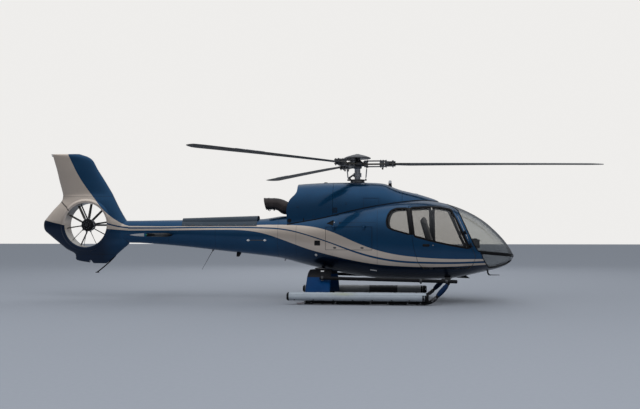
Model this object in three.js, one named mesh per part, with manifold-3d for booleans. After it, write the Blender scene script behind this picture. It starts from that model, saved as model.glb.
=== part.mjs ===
// Light single-engine helicopter with a wide glazed cabin, a three-blade main rotor,
// a ducted tail fan and low skids that carry stowed emergency floats.
// Millimetres. +X forward, +Y to port, +Z up. The origin is on the ground, in the plane of
// symmetry, halfway between the tail and the tip of the blade that points over the nose.
import * as THREE from 'three';
import { mergeVertices } from 'three/addons/utils/BufferGeometryUtils.js';
import Module from 'manifold-3d';

const wasm = await Module();
wasm.setup();

// Driving dimensions
const TOUCH = 0.3;            // gap kept between pieces that rest on each other
const PANEL_GAP = 8;          // running gap round a door
const WALL = 45;              // cabin wall and door thickness
const GLASS = { depth: 9, thickness: 10 };
const ROTOR = { x: 975, radius: 5345, z: 3030, chord: 350, root: 758, droop: 50, blades: 3 };
const DUCT = { x: -5245, z: 1678, radius: 505, lip: 600, halfWidth: 205, sides: 30 };
const FAN = { radius: 494, hub: 140, blades: 10 };
const SKID = { y: 1200, radius: 36, z: 42, rear: -220, shoes: [[60, 620], [1300, 1700], [2060, 2370]] };
const FLOAT = { y: 1302, z: 172, radius: 90, rear: -420, front: 2520 };
const STEP = { y: 1010, radius: 36, rear: 235, front: 3110, zRear: 542, zFront: 478 };
const CABIN = { rear: 1450, floor: 680, sill: 735 };
const COWL_WALL = 22;
const BOOM = { start: -760, end: -4250 };
const HEAD = { mast: 65, base: 2440.3, star: 2936, horn: 2960, link: { radius: 236, angle: -32 } };
const DOOR_HINGE = {
  low: [3402, 890, 1230], high: [3287, 872, 1500], pin: 7, knuckle: 15, half: 26, reach: 32,
};
const BAY_HINGE = { pin: 5, knuckle: 10, half: 24, places: [-330, 330], axis: -8, rise: 1 };
const SEAT = { y: 430, half: 240, bench: 745, benchBase: 680 };
const COWL_SPLIT = { engine: 475, fairing: 1970 };

// Colours from the photograph
const PAINT = {
  blue: [0x2b5778, 0.32, 0.35],
  navy: [0x16263d, 0.4, 0.3],
  gold: [0xb2a090, 0.45, 0.3],
  black: [0x15161a, 0.5, 0.1],
  grey: [0x4a4c52, 0.45, 0.6],
  blade: [0x3c3d42, 0.6, 0.1],
  steel: [0x7d7f84, 0.35, 0.9],
  burnt: [0x5d545a, 0.5, 0.8],
  glass: [0x3a4046, 0.05, 0.0],
  cloth: [0x8f96a6, 0.85, 0.0],
};

// Body sections, nose to boom. Columns: x, bottom z, top z, half width, z of the widest
// point, exponent of the upper half, exponent of the lower half
const HULL = [
  [4360, 965, 1030, 60, 997, 2.0, 2.0],
  [4300, 868, 1143, 270, 1000, 2.05, 2.05],
  [4190, 785, 1308, 430, 1010, 2.1, 2.15],
  [4000, 716, 1520, 590, 1030, 2.15, 2.25],
  [3730, 655, 1758, 745, 1060, 2.2, 2.4],
  [3400, 580, 1955, 870, 1100, 2.3, 2.6],
  [3000, 508, 2112, 965, 1150, 2.5, 2.9],
  [2500, 490, 2208, 1010, 1190, 2.7, 3.1],
  [2000, 492, 2205, 1015, 1220, 2.9, 3.1],
  [1450, 507, 2150, 985, 1240, 3.1, 3.0],
  [900, 580, 2070, 905, 1260, 3.1, 2.7],
  [350, 680, 1975, 795, 1280, 2.9, 2.5],
  [-150, 785, 1905, 650, 1320, 2.7, 2.3],
  [-500, 875, 1878, 510, 1370, 2.5, 2.2],
  [-760, 938, 1866, 415, 1400, 2.3, 2.1],
];

// Tail boom sections, same columns
const TAIL_BOOM = [
  [-660, 915, 1870, 452, 1388, 2.4, 2.15],
  [-760, 938, 1866, 415, 1400, 2.3, 2.1],
  [-1250, 1002, 1802, 325, 1420, 2.2, 2.1],
  [-2150, 1098, 1792, 262, 1450, 2.1, 2.1],
  [-3050, 1195, 1788, 212, 1490, 2.1, 2.1],
  [-3900, 1262, 1778, 170, 1520, 2.1, 2.1],
  [-4250, 1272, 1776, 155, 1524, 2.1, 2.1],
  [-4640, 1290, 1776, 140, 1530, 2.1, 2.1],
];

// Cowling sections, same columns; the body cuts the lower part away
const COWL = [
  [2760, 1700, 2192, 210, 1900, 2.0, 2.0],
  [2640, 1700, 2245, 330, 1900, 2.1, 2.0],
  [2360, 1650, 2334, 450, 1880, 2.3, 2.0],
  [1950, 1600, 2436, 545, 1860, 2.6, 2.2],
  [1740, 1580, 2512, 580, 1850, 2.8, 2.2],
  [1560, 1560, 2582, 605, 1850, 2.9, 2.2],
  [1200, 1500, 2606, 635, 1850, 3.0, 2.2],
  [700, 1450, 2611, 640, 1840, 3.0, 2.2],
  [250, 1400, 2607, 610, 1820, 2.9, 2.2],
  [-150, 1400, 2590, 540, 1800, 2.8, 2.2],
  [-420, 1400, 2570, 475, 1780, 2.7, 2.2],
  [-640, 1400, 2550, 420, 1760, 2.6, 2.2],
];

// Rear outline of the cowling in side view: x, z
const COWL_REAR = [
  [-335, 2700], [-335, 2400], [-390, 2325], [-480, 2245], [-525, 2165],
  [-560, 2055], [-566, 1940], [-552, 1830], [-545, 1600],
];

// Fin and fan shroud sections, bottom to top. Columns: z, trailing x, leading x, half thickness
const FIN = [
  [800, -5120, -4800, 40],
  [868, -5500, -4715, 60],
  [960, -5540, -4600, 85],
  [1030, -5575, -4525, 110],
  [1130, -5765, -4410, 150],
  [1260, -5935, -4270, 182],
  [1450, -6175, -4240, 196],
  [1570, -6300, -4240, 200],
  [1730, -6320, -4300, 198],
  [1830, -6260, -4370, 193],
  [2030, -6088, -4490, 178],
  [2220, -5908, -4590, 150],
  [2330, -5868, -4645, 126],
  [2430, -5878, -4697, 108],
  [2700, -5955, -4865, 90],
  [2960, -6022, -5035, 78],
  [3160, -6085, -5150, 66],
  [3250, -6112, -5262, 60],
  [3300, -6145, -5400, 50],
  [3325, -6170, -5480, 34],
];

// Side-view outlines of the doors and windows: x, z
const A_PILLAR_REAR = [[3082, 1985], [3185, 1720], [3285, 1490], [3385, 1260], [3500, 990]];
const DOOR_LOW = 752;
const DOOR_LOW_FRONT = [[3440, 820], [3320, DOOR_LOW]];
const DOOR_TOP_FRONT = [[2760, 2070], [3000, 2035]];
const DOOR_REAR_EDGE_RIGHT = [
  [2360, 790], [2300, 880], [2210, 1200], [2180, 1440], [2145, 1730], [2120, 1940], [2105, 2060],
];
const DOOR_REAR_EDGE_LEFT = [
  [2720, DOOR_LOW], [2690, 1200], [2660, 1440], [2651, 1730], [2644, 1940], [2640, 2075],
];
const FRONT_DOOR_RIGHT = [
  ...A_PILLAR_REAR, ...DOOR_LOW_FRONT, [2480, DOOR_LOW], ...DOOR_REAR_EDGE_RIGHT, ...DOOR_TOP_FRONT,
];
const FRONT_DOOR_LEFT = [...A_PILLAR_REAR, ...DOOR_LOW_FRONT, ...DOOR_REAR_EDGE_LEFT, ...DOOR_TOP_FRONT];
const DOOR_SPACE = 20;        // between the front and the sliding door
const SLIDING_DOOR_REAR = [[1640, DOOR_LOW], [1560, 800], [1540, 900], [1540, 1950], [1600, 2060]];
const slidingDoorOutline = (back) => [
  ...DOOR_REAR_EDGE_LEFT.slice().reverse().map(([x, z]) => [x - back, z]), ...SLIDING_DOOR_REAR,
];
const SLIDING_DOOR_LEFT = slidingDoorOutline(DOOR_SPACE);
const DOOR_WINDOW_FRONT = [
  [2990, 1985], [3120, 1720], [3222, 1490], [3322, 1262], [3368, 1190], [3330, 1182],
];
const WINDOW_FRONT_RIGHT = [
  ...DOOR_WINDOW_FRONT, [2960, 1250], [2550, 1342], [2250, 1425], [2235, 1445],
  [2165, 2000], [2180, 2018], [2560, 2034], [2760, 2030],
];
const WINDOW_FRONT_LEFT = [
  ...DOOR_WINDOW_FRONT, [2960, 1250], [2730, 1300], [2712, 1320], [2692, 2020], [2705, 2030], [2760, 2030],
];
const WINDOW_REAR_RIGHT = [
  [2062, 2005], [1850, 2000], [1745, 1955], [1685, 1860], [1655, 1725],
  [1680, 1620], [1760, 1575], [2110, 1475], [2122, 1490],
];
const WINDOW_SLIDING_LEFT = [
  [2575, 2030], [1850, 2000], [1745, 1955], [1685, 1860], [1655, 1725],
  [1680, 1620], [1760, 1575], [2150, 1462], [2580, 1345], [2592, 1360],
];
const WINDSCREEN = [
  [2945, 2300], [2945, 2125], [3160, 1985], [3262, 1720], [3362, 1490], [3462, 1262],
  [3560, 1110], [3600, 1100], [4500, 1018], [4500, 2300],
];
const CHIN_WINDOW = [
  [3632, 1052], [3665, 950], [3725, 850], [3800, 752], [3980, 765], [4200, 835],
  [4330, 905], [4500, 925], [4500, 972],
];
const CENTRE_POST = 24;
const BAY = { x0: 330, x1: 1340, z0: 1135, z1: 1615, skinY: 900, depth: 400, turn: 9.2 };

// Closed meshes and solids

function meshSolid(geometry) {
  const bare = geometry.index ? geometry.clone() : geometry;
  bare.deleteAttribute('normal');
  bare.deleteAttribute('uv');
  const merged = mergeVertices(bare, 1e-3);
  const vertProperties = new Float32Array(merged.attributes.position.array);
  const triVerts = new Uint32Array(merged.index.array);
  return new wasm.Manifold(new wasm.Mesh({ numProp: 3, vertProperties, triVerts }));
}

function geometryOf(solid) {
  const { vertProperties, triVerts } = solid.getMesh();
  const geometry = new THREE.BufferGeometry();
  geometry.setAttribute('position', new THREE.BufferAttribute(new Float32Array(vertProperties), 3));
  geometry.setIndex(new THREE.BufferAttribute(new Uint32Array(triVerts), 1));
  geometry.computeVertexNormals();
  return geometry;
}

const united = (solids) => solids.reduce((sum, solid) => sum.add(solid));

// A closed skin through rings of the same count, with flat ends
function loft(rings) {
  const count = rings[0].length;
  const positions = rings.flat(2);
  const index = [];
  for (let r = 0; r + 1 < rings.length; r += 1) {
    for (let k = 0; k < count; k += 1) {
      const a = r * count + k;
      const b = r * count + ((k + 1) % count);
      index.push(a, b, b + count, a, b + count, a + count);
    }
  }
  const flat = (ring) => {
    const spread = (axis) => Math.max(...ring.map((p) => p[axis])) - Math.min(...ring.map((p) => p[axis]));
    const drop = [0, 1, 2].sort((a, b) => spread(a) - spread(b))[0];
    const [u, v] = [0, 1, 2].filter((axis) => axis !== drop);
    return THREE.ShapeUtils.triangulateShape(ring.map((p) => new THREE.Vector2(p[u], p[v])), []);
  };
  const ringArea = (ring, [a, b, c]) => {
    const [p, q, s] = [ring[a], ring[b], ring[c]].map((v) => new THREE.Vector3(...v));
    return q.sub(p).cross(s.sub(p));
  };
  const addCap = (ring, offset, outward) => {
    for (const triangle of flat(ring)) {
      const [a, b, c] = triangle;
      const forward = ringArea(ring, triangle).dot(outward) > 0;
      if (forward) index.push(offset + a, offset + b, offset + c);
      else index.push(offset + a, offset + c, offset + b);
    }
  };
  const middle = (ring) => {
    const sum = ring.reduce((m, p) => m.add(new THREE.Vector3(...p)), new THREE.Vector3());
    return sum.divideScalar(ring.length);
  };
  const last = rings.length - 1;
  const startOut = middle(rings[0]).sub(middle(rings[1]));
  const endOut = middle(rings[last]).sub(middle(rings[last - 1]));
  const sideOut = () => {
    const [a, b, c] = index.slice(0, 3).map((i) => new THREE.Vector3().fromArray(positions, i * 3));
    return b.clone().sub(a).cross(c.clone().sub(a)).dot(a.clone().sub(middle(rings[0])));
  };
  if (sideOut() < 0) {
    for (let i = 0; i < index.length; i += 3) [index[i + 1], index[i + 2]] = [index[i + 2], index[i + 1]];
  }
  addCap(rings[0], 0, startOut);
  addCap(rings[last], last * count, endOut);
  const geometry = new THREE.BufferGeometry();
  geometry.setAttribute('position', new THREE.Float32BufferAttribute(positions, 3));
  geometry.setIndex(index);
  return meshSolid(geometry);
}

function box(x0, x1, y0, y1, z0, z1) {
  const geometry = new THREE.BoxGeometry(x1 - x0, y1 - y0, z1 - z0);
  geometry.translate((x0 + x1) / 2, (y0 + y1) / 2, (z0 + z1) / 2);
  return meshSolid(geometry);
}

// A side-view outline of x, z points made solid from y0 to y1
function sidePrism(outline, y0, y1) {
  const shape = new THREE.Shape(outline.map(([x, z]) => new THREE.Vector2(x, z)));
  const geometry = new THREE.ExtrudeGeometry(shape, { depth: y1 - y0, bevelEnabled: false });
  geometry.rotateX(Math.PI / 2);
  geometry.translate(0, y1, 0);
  return meshSolid(geometry);
}

function rod(from, to, radius, sides = 16, radiusTo = radius) {
  const start = new THREE.Vector3(...from);
  const end = new THREE.Vector3(...to);
  const along = end.clone().sub(start);
  const geometry = new THREE.CylinderGeometry(radiusTo, radius, along.length(), sides);
  geometry.applyQuaternion(new THREE.Quaternion().setFromUnitVectors(
    new THREE.Vector3(0, 1, 0), along.clone().normalize()));
  geometry.translate(...start.add(end).multiplyScalar(0.5).toArray());
  return meshSolid(geometry);
}

// A round bar or pipe bent along a smooth curve through the points
function bentBar(points, radius, steps, sides = 12) {
  const path = new THREE.CatmullRomCurve3(points.map((p) => new THREE.Vector3(...p)), false, 'centripetal');
  const shape = new THREE.Shape();
  for (let k = 0; k < sides; k += 1) {
    const angle = (2 * Math.PI * k) / sides;
    const [u, v] = [radius * Math.cos(angle), radius * Math.sin(angle)];
    if (k === 0) shape.moveTo(u, v);
    else shape.lineTo(u, v);
  }
  shape.closePath();
  return meshSolid(new THREE.ExtrudeGeometry(shape, { steps, extrudePath: path }));
}

// A turned solid: profile of radius, height points that starts and ends on the axis or closes
function turned(profile, sides = 24) {
  const geometry = new THREE.LatheGeometry(profile.map(([r, h]) => new THREE.Vector2(r, h)), sides);
  geometry.rotateX(Math.PI / 2);
  const solid = meshSolid(geometry);
  if (solid.volume() > 0) return solid;
  const { index } = geometry;
  for (let i = 0; i < index.count; i += 3) {
    const b = index.getX(i + 1);
    index.setX(i + 1, index.getX(i + 2));
    index.setX(i + 2, b);
  }
  return meshSolid(geometry);
}

const moved = (solid, x, y, z) => solid.translate([x, y, z]);

// Outline grown outwards by a distance, each corner on the bisector of its two edges
function grown(outline, distance) {
  const points = outline.map(([x, z]) => new THREE.Vector2(x, z));
  const side = THREE.ShapeUtils.isClockWise(points) ? -1 : 1;
  return points.map((p, i) => {
    const before = points[(i + points.length - 1) % points.length];
    const after = points[(i + 1) % points.length];
    const inDir = p.clone().sub(before).normalize();
    const outDir = after.clone().sub(p).normalize();
    const edgeNormal = new THREE.Vector2(inDir.y, -inDir.x).multiplyScalar(side);
    const nextNormal = new THREE.Vector2(outDir.y, -outDir.x).multiplyScalar(side);
    const normal = edgeNormal.clone().add(nextNormal).normalize();
    const reach = distance / Math.max(0.35, normal.dot(edgeNormal));
    return [p.x + normal.x * reach, p.y + normal.y * reach];
  });
}

// Body skins

// Smooth values of a table of sections at a place counted in rows
function rowAt(rows, place) {
  const i = Math.min(Math.floor(place), rows.length - 2);
  const t = place - i;
  const pick = (k) => rows[Math.min(Math.max(k, 0), rows.length - 1)];
  const [a, b, c, d] = [pick(i - 1), pick(i), pick(i + 1), pick(i + 2)];
  return b.map((value, k) => {
    const slopeIn = (c[k] - a[k]) / (i === 0 ? 1 : 2);
    const slopeOut = (d[k] - b[k]) / (i + 2 >= rows.length ? 1 : 2);
    const rise = c[k] - value;
    const [bend, twist] = [3 * rise - 2 * slopeIn - slopeOut, slopeIn + slopeOut - 2 * rise];
    return value + t * (slopeIn + t * (bend + t * twist));
  });
}

const power = (value, exponent) => Math.sign(value) * Math.abs(value) ** exponent;

function skinPoint(rows, place, angle) {
  const [x, low, high, half, wide, upper, lower] = rowAt(rows, place);
  const [c, s] = [Math.cos(angle), Math.sin(angle)];
  const exponent = 2 / (s >= 0 ? upper : lower);
  const height = s >= 0 ? high - wide : wide - low;
  return new THREE.Vector3(x, half * power(c, exponent), wide + height * power(s, exponent));
}

// Point of the skin moved inwards along the skin's own normal
function insetPoint(rows, place, angle, inset) {
  const point = skinPoint(rows, place, angle);
  if (inset === 0) return point.toArray();
  const last = rows.length - 1;
  const [p0, p1] = [Math.max(place - 0.02, 0), Math.min(place + 0.02, last)];
  const alongBody = skinPoint(rows, p1, angle).sub(skinPoint(rows, p0, angle));
  const around = skinPoint(rows, place, angle + 0.04).sub(skinPoint(rows, place, angle - 0.04));
  const normal = alongBody.cross(around).normalize();
  const outward = point.clone().sub(skinPoint(rows, place, angle + Math.PI)).dot(normal) > 0 ? 1 : -1;
  return point.addScaledVector(normal, -inset * outward).toArray();
}

// Solid of a table of sections, with its skin moved inwards by an inset
function bodySolid(rows, inset, sides, places = rows.map((row, i) => i)) {
  return loft(places.map((place) => {
    const ring = [];
    for (let k = 0; k < sides; k += 1) {
      ring.push(insetPoint(rows, place, (2 * Math.PI * (k + 0.5)) / sides, inset));
    }
    return ring;
  }));
}

// Twice as many sections over the rounded nose as along the rest of the body
const HULL_SIDES = 24;
const HULL_PLACES = HULL.flatMap((row, i) => (i < 5 ? [i, i + 0.5] : [i]));
const hullSolid = (inset) => bodySolid(HULL, inset, HULL_SIDES, HULL_PLACES);
const hullOuter = hullSolid(0);
const hullGrown = hullSolid(-TOUCH);
const hullInner = hullSolid(WALL);
const cabinZone = box(CABIN.rear + TOUCH, 5000, -2000, 2000, 0, 3000);
const shell = hullOuter.subtract(hullInner).intersect(cabinZone);
const glassShell = hullSolid(GLASS.depth).subtract(hullSolid(GLASS.depth + GLASS.thickness));

const RIGHT = [-2000, 0];
const LEFT = [0, 2000];

function panel(outline, [y0, y1]) {
  return shell.intersect(sidePrism(outline, y0, y1));
}

function pane(outline, [y0, y1]) {
  return glassShell.intersect(sidePrism(grown(outline, -TOUCH), y0, y1));
}

// Cabin

// Side-view line where the floor pan meets the canopy: x, z
const SILL_LINE = [[CABIN.rear + TOUCH, CABIN.sill], [3500, CABIN.sill], [3740, 672], [5000, 672]];

function lowerHull() {
  const below = sidePrism([[CABIN.rear + TOUCH, 0], [5000, 0], ...SILL_LINE.slice().reverse()], -2000, 2000);
  const room = hullInner.intersect(box(CABIN.rear - 1, 5000, -2000, 2000, CABIN.floor, 3000));
  return hullOuter.intersect(below).subtract(room);
}

function canopy() {
  const lifted = SILL_LINE.map(([x, z]) => [x, z + TOUCH]);
  const above = sidePrism([...lifted, [5000, 3000], [CABIN.rear + TOUCH, 3000]], -2000, 2000);
  const cuts = [
    doorway(FRONT_DOOR_RIGHT, RIGHT, -1, DOOR_REAR_EDGE_RIGHT),
    doorway(FRONT_DOOR_LEFT, LEFT, 1, DOOR_REAR_EDGE_LEFT),
    sidePrism(grown(slidingDoorOutline(0), TOUCH), ...LEFT),
    sidePrism(WINDOW_REAR_RIGHT, ...RIGHT),
  ];
  for (const outline of [WINDSCREEN, CHIN_WINDOW]) {
    cuts.push(sidePrism(outline, -2000, -CENTRE_POST), sidePrism(outline, CENTRE_POST, 2000));
  }
  const hinges = [-1, 1].map(doorHingePins);
  return united([shell.intersect(above).subtract(united(cuts)), ...hinges]);
}

// Half width of the body at a side-view place
function halfWidthAt(x, z) {
  let place = HULL.length - 1;
  for (let k = 0; k < HULL.length - 1; k += 1) {
    if (x <= HULL[k][0] && x >= HULL[k + 1][0]) place = k + (HULL[k][0] - x) / (HULL[k][0] - HULL[k + 1][0]);
  }
  const [, low, high, half, wide, upper, lower] = rowAt(HULL, place);
  const [height, exponent] = z >= wide ? [high - wide, upper] : [wide - low, lower];
  return half * (1 - (Math.abs(z - wide) / height) ** exponent) ** (1 / exponent);
}

// Room in which a front door swings: turned about its hinge, as wide at each height as the
// outer corner of the door's rear edge, so that the edge's inner corner passes the next panel
function doorSwing(side, rearEdge, grow) {
  const [low, high] = doorAxis(side);
  const along = high.clone().sub(low).normalize();
  const profile = rearEdge.map(([x, z]) => {
    const corner = new THREE.Vector3(x, side * halfWidthAt(x, z), z).sub(low);
    const height = corner.dot(along);
    return [corner.addScaledVector(along, -height).length() + grow, height];
  });
  const [bottom, top] = [profile[0], profile[profile.length - 1]];
  const ends = [[0, bottom[1] - 600], [bottom[0], bottom[1] - 600]];
  const geometry = turned([...ends, ...profile, [top[0], top[1] + 300], [0, top[1] + 300]], 96);
  const turn = new THREE.Matrix4().makeRotationFromQuaternion(
    new THREE.Quaternion().setFromUnitVectors(new THREE.Vector3(0, 0, 1), along)).setPosition(low);
  return geometry.transform(turn.toArray());
}

// Opening for a front door, open down to the sill, because the leaning hinge lowers the
// door's front corner at first
function doorway(outline, range, side, rearEdge) {
  const opened = grown(outline, PANEL_GAP).map(([x, z]) => [x, z < DOOR_LOW ? CABIN.sill - WALL : z]);
  return sidePrism(opened, ...range).intersect(doorSwing(side, rearEdge, PANEL_GAP));
}

const doorPanel = (outline, windowOutline, side) => panel(outline, side)
  .subtract(sidePrism(windowOutline, ...side));

const frontGlass = (outline, side) => pane(outline, side < 0
  ? [-2000, -CENTRE_POST - TOUCH] : [CENTRE_POST + TOUCH, 2000]);

// Door hinges: two short pins on one axis just outside the windscreen pillar, leaning back with it

const doorAxis = (side) => [DOOR_HINGE.low, DOOR_HINGE.high]
  .map(([x, y, z]) => new THREE.Vector3(x, side * y, z));

function alongAxis(side, start, from, to) {
  const [low, high] = doorAxis(side);
  const direction = high.clone().sub(low).normalize();
  return [from, to].map((reach) => start.clone().addScaledVector(direction, reach).toArray());
}

function doorHingePins(side) {
  const { pin, knuckle, half } = DOOR_HINGE;
  return united(doorAxis(side).map((point) => united([
    rod(...alongAxis(side, point, -half - 14, half + 14), pin, 6),
    ...[-1, 1].map((end) => {
      const [from, to] = alongAxis(side, point, end * (half + 0.5), end * (half + 14));
      const middle = from.map((value, k) => (value + to[k]) / 2);
      const wall = [middle[0] + 32, middle[1] - side * 44, middle[2] + 20];
      return united([rod(from, to, knuckle, 6), rod(middle, wall, 5, 4)]);
    }),
  ]))).subtract(hullInner);
}

function doorHingeArms(side) {
  const { pin, knuckle, half, reach } = DOOR_HINGE;
  return united(doorAxis(side).map((point) => {
    const root = [point.x - reach, point.y + side * 8, point.z];
    return united([
      rod(...alongAxis(side, point, -half, half), knuckle, 8),
      rod(point.toArray(), root, 8, 4),
      rod(root, [root[0] - 10, root[1] - side * 34, root[2]], 9, 4),
    ]).subtract(rod(...alongAxis(side, point, -80, 80), pin + 2 * TOUCH, 8));
  }));
}

const frontDoor = (outline, windowOutline, range, side, rearEdge) => doorPanel(outline, windowOutline, range)
  .intersect(doorSwing(side, rearEdge, 0)).add(doorHingeArms(side));

// Rear body with a luggage bay on each side

const bayMiddle = (BAY.x0 + BAY.x1) / 2;
const bayHalf = (BAY.x1 - BAY.x0) / 2;

// Places a solid drawn along the luggage bay's wall, x along the wall and y into the body
function atBay(solid, side) {
  const placed = solid.rotate([0, 0, -BAY.turn]).translate([bayMiddle, -BAY.skinY, 0]);
  return side > 0 ? placed.mirror([0, 1, 0]) : placed;
}

const bayBlank = (grow) => box(
  -bayHalf - grow, bayHalf + grow, -400, BAY.depth, BAY.z0 - grow, BAY.z1 + grow);

// Pins of the luggage door's hinge, carried by lugs above the opening
function bayHingePins(side) {
  const { pin, half, places, axis, rise } = BAY_HINGE;
  return united(places.map((along) => atBay(united([
    rod([along - half - 12, axis, BAY.z1 + rise], [along + half + 12, axis, BAY.z1 + rise], pin, 10),
    ...[-1, 1].map((end) => {
      const [x0, x1] = [along + end * (half + 0.5), along + end * (half + 12)].sort((a, b) => a - b);
      return box(x0, x1, axis - 10, axis + 110, BAY.z1 + rise - 8, BAY.z1 + 42).subtract(
        box(x0 - 1, x1 + 1, axis + 11, axis + 120, 0, BAY.z1 + PANEL_GAP));
    }),
  ]), side)));
}

function bayHingeKnuckles(side) {
  const { pin, knuckle, half, places, axis, rise } = BAY_HINGE;
  return united(places.map((along) => {
    const z = BAY.z1 + rise;
    const solids = united([
      rod([along - half, axis, z], [along + half, axis, z], knuckle, 14),
      box(along - half, along + half, axis - 4, axis + 6, z - 55, z),
      box(along - half, along + half, axis - 4, axis + 60, z - 55, z - 30),
    ]);
    return atBay(solids.subtract(rod([along - 80, axis, z], [along + 80, axis, z], pin + TOUCH, 14)), side);
  }));
}

function bayLid(side) {
  const lid = hullOuter.subtract(hullInner).intersect(atBay(bayBlank(0), side));
  return lid.add(bayHingeKnuckles(side).subtract(hullInner));
}

function rearBody() {
  const rearOfCabin = box(BOOM.start + TOUCH, CABIN.rear, -2000, 2000, 0, 3000);
  const bays = united([-1, 1].map((side) => atBay(bayBlank(PANEL_GAP), side)));
  return united([hullOuter.intersect(rearOfCabin).subtract(bays), bayHingePins(-1), bayHingePins(1)]);
}

// Cowling over the engine and the main gearbox

const COWL_SIDES = 24;
const cowlGrown = bodySolid(COWL, -TOUCH, COWL_SIDES);

function wholeCowl() {
  const skin = bodySolid(COWL, 0, COWL_SIDES);
  const inner = bodySolid(COWL, COWL_WALL, COWL_SIDES, COWL.map((row, i) => (i === 0 ? 0.25 : i)));
  const ahead = [[3000, 1600], [3000, 2700]];
  const rearCut = sidePrism([...COWL_REAR, ...ahead], -2000, 2000);
  const rearWall = COWL_REAR.map(([x, z]) => [x + COWL_WALL, z]);
  const hollow = inner.intersect(sidePrism([...rearWall, ...ahead], -2000, 2000));
  const exhaustHole = rod([-800, 0, 2122], [-380, 0, 2066], 174, 18);
  const mastHole = rod([ROTOR.x, 0, 2300], [ROTOR.x, 0, 2800], 206, 20);
  return skin.intersect(rearCut).subtract(united([hollow, hullGrown, exhaustHole, mastHole]));
}

const cowl = wholeCowl();
const cowling = (x0, x1) => cowl.intersect(box(x0, x1, -2000, 2000, 1000, 3000));

function engineBlock() {
  const core = rod([-290, 0, 2140], [440, 0, 2140], 195, 14);
  const feet = [-150, 300].map((x) => box(x, x + 60, -120, 120, 1700, 2060));
  return united([core, ...feet]).subtract(hullGrown);
}

function mainGearbox() {
  return rod([ROTOR.x, 0, 1900], [ROTOR.x, 0, 2440], 235, 18, 190).subtract(hullGrown);
}

function exhaustPipe() {
  const inside = [[-480, 0, 2080], [-700, 0, 2098], [-920, 0, 2132]];
  const mouth = sidePrism([[-1300, 2400], [-1132, 2400], [-1078, 1900], [-1300, 1900]], -400, 400);
  const outer = bentBar([[-290 - TOUCH, 0, 2080], ...inside, [-1180, 0, 2150]], 150, 5, 14);
  const bore = bentBar([[-220, 0, 2080], ...inside, [-1260, 0, 2156]], 143, 5, 14);
  return outer.subtract(bore).subtract(mouth);
}

// Tail

const boomSkin = (inset) => bodySolid(TAIL_BOOM, inset, 18);
const boomGrown = boomSkin(-TOUCH);

function tailBoom() {
  const room = boomSkin(28).intersect(box(BOOM.end + 60, 0, -1000, 1000, 0, 3000));
  return boomSkin(0).intersect(box(BOOM.end + TOUCH, BOOM.start, -1000, 1000, 0, 3000)).subtract(room);
}

function shaftFairing() {
  const rings = [[-1258, 178, 1880], [-2990, 128, 1830]].map(([x, half, top]) => {
    const ring = [];
    for (let k = 0; k <= 10; k += 1) {
      const angle = (Math.PI * k) / 10;
      ring.push([x, half * power(Math.cos(angle), 0.6), 1640 + (top - 1640) * power(Math.sin(angle), 0.6)]);
    }
    return ring;
  });
  return loft(rings).subtract(boomGrown);
}

function finSection([z, trailing, leading, half], grow) {
  const ring = [];
  const reach = (leading - trailing) / 2 + grow;
  for (let k = 0; k < 12; k += 1) {
    const angle = (2 * Math.PI * k) / 12;
    const x = (trailing + leading) / 2 + reach * Math.cos(angle);
    ring.push([x, (half + grow) * Math.sin(angle) * (1 + 0.25 * Math.cos(angle)), z]);
  }
  return ring;
}

const finSolid = (grow) => loft(FIN.map((row) => finSection(row, grow)));

// Turns a turned solid so that its axis runs across the duct, its top towards -Y
const ductAxis = (solid) => solid.rotate([90, 0, 0]).translate([DUCT.x, 0, DUCT.z]);
const ductPlug = (radius) => ductAxis(
  turned([[0, -400], [radius, -400], [radius, 400], [0, 400]], DUCT.sides));

function tailFin() {
  const { radius, lip, halfWidth, sides } = DUCT;
  const rim = ductAxis(turned([
    [radius - 20, -halfWidth + 30], [radius + 14, -halfWidth + 6], [radius + 36, -halfWidth],
    [lip, -halfWidth + 40], [lip, halfWidth - 40], [radius + 36, halfWidth],
    [radius + 14, halfWidth - 6], [radius - 20, halfWidth - 30], [radius - 20, -halfWidth + 30],
  ], sides));
  const stub = boomSkin(0).intersect(box(-5000, BOOM.end, -1000, 1000, 0, 3000));
  const aerial = rod([-5545, 0, 3250], [-5545, 0, 3386], 15, 8, 8);
  const notch = sidePrism([[-5215, 700], [-5205, 868], [-5155, 880], [-5095, 780], [-5095, 700]], -200, 200);
  const front = box(BOOM.end, 0, -1000, 1000, 0, 4000);
  return united([finSolid(0), rim, stub, aerial]).subtract(united([ductPlug(radius), notch, front]));
}

// The tail gearbox is held in the duct by three arms, and its shaft carries the fan
function tailGearbox() {
  const body = ductAxis(turned([
    [0, -175], [90, -175], [125, -140], [130, 5], [28, 5], [28, 12 - TOUCH], [0, 12 - TOUCH],
  ], 20));
  const arms = [0, 115, 245].map((angle, i) => {
    const turn = THREE.MathUtils.degToRad(angle);
    const tip = [DUCT.x + 540 * Math.cos(turn), 95, DUCT.z + 540 * Math.sin(turn)];
    return rod([DUCT.x, 95, DUCT.z], tip, i === 0 ? 36 : 24, 10);
  });
  return united([body, ...arms]).intersect(ductPlug(DUCT.radius - TOUCH));
}

function tailFan() {
  const { hub, radius, blades } = FAN;
  const centre = ductAxis(turned([[0, 12], [hub, 12], [hub, 80], [110, 118], [50, 132], [0, 134]], 20));
  const blade = box(hub - 20, radius, -7, 7, -50, 50).rotate([40, 0, 0]).translate([0, -46, 0]);
  const ring = [];
  for (let k = 0; k < blades; k += 1) {
    ring.push(blade.rotate([0, (360 * k) / blades + 8, 0]).translate([DUCT.x, 0, DUCT.z]));
  }
  return united([centre, ...ring]);
}

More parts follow.
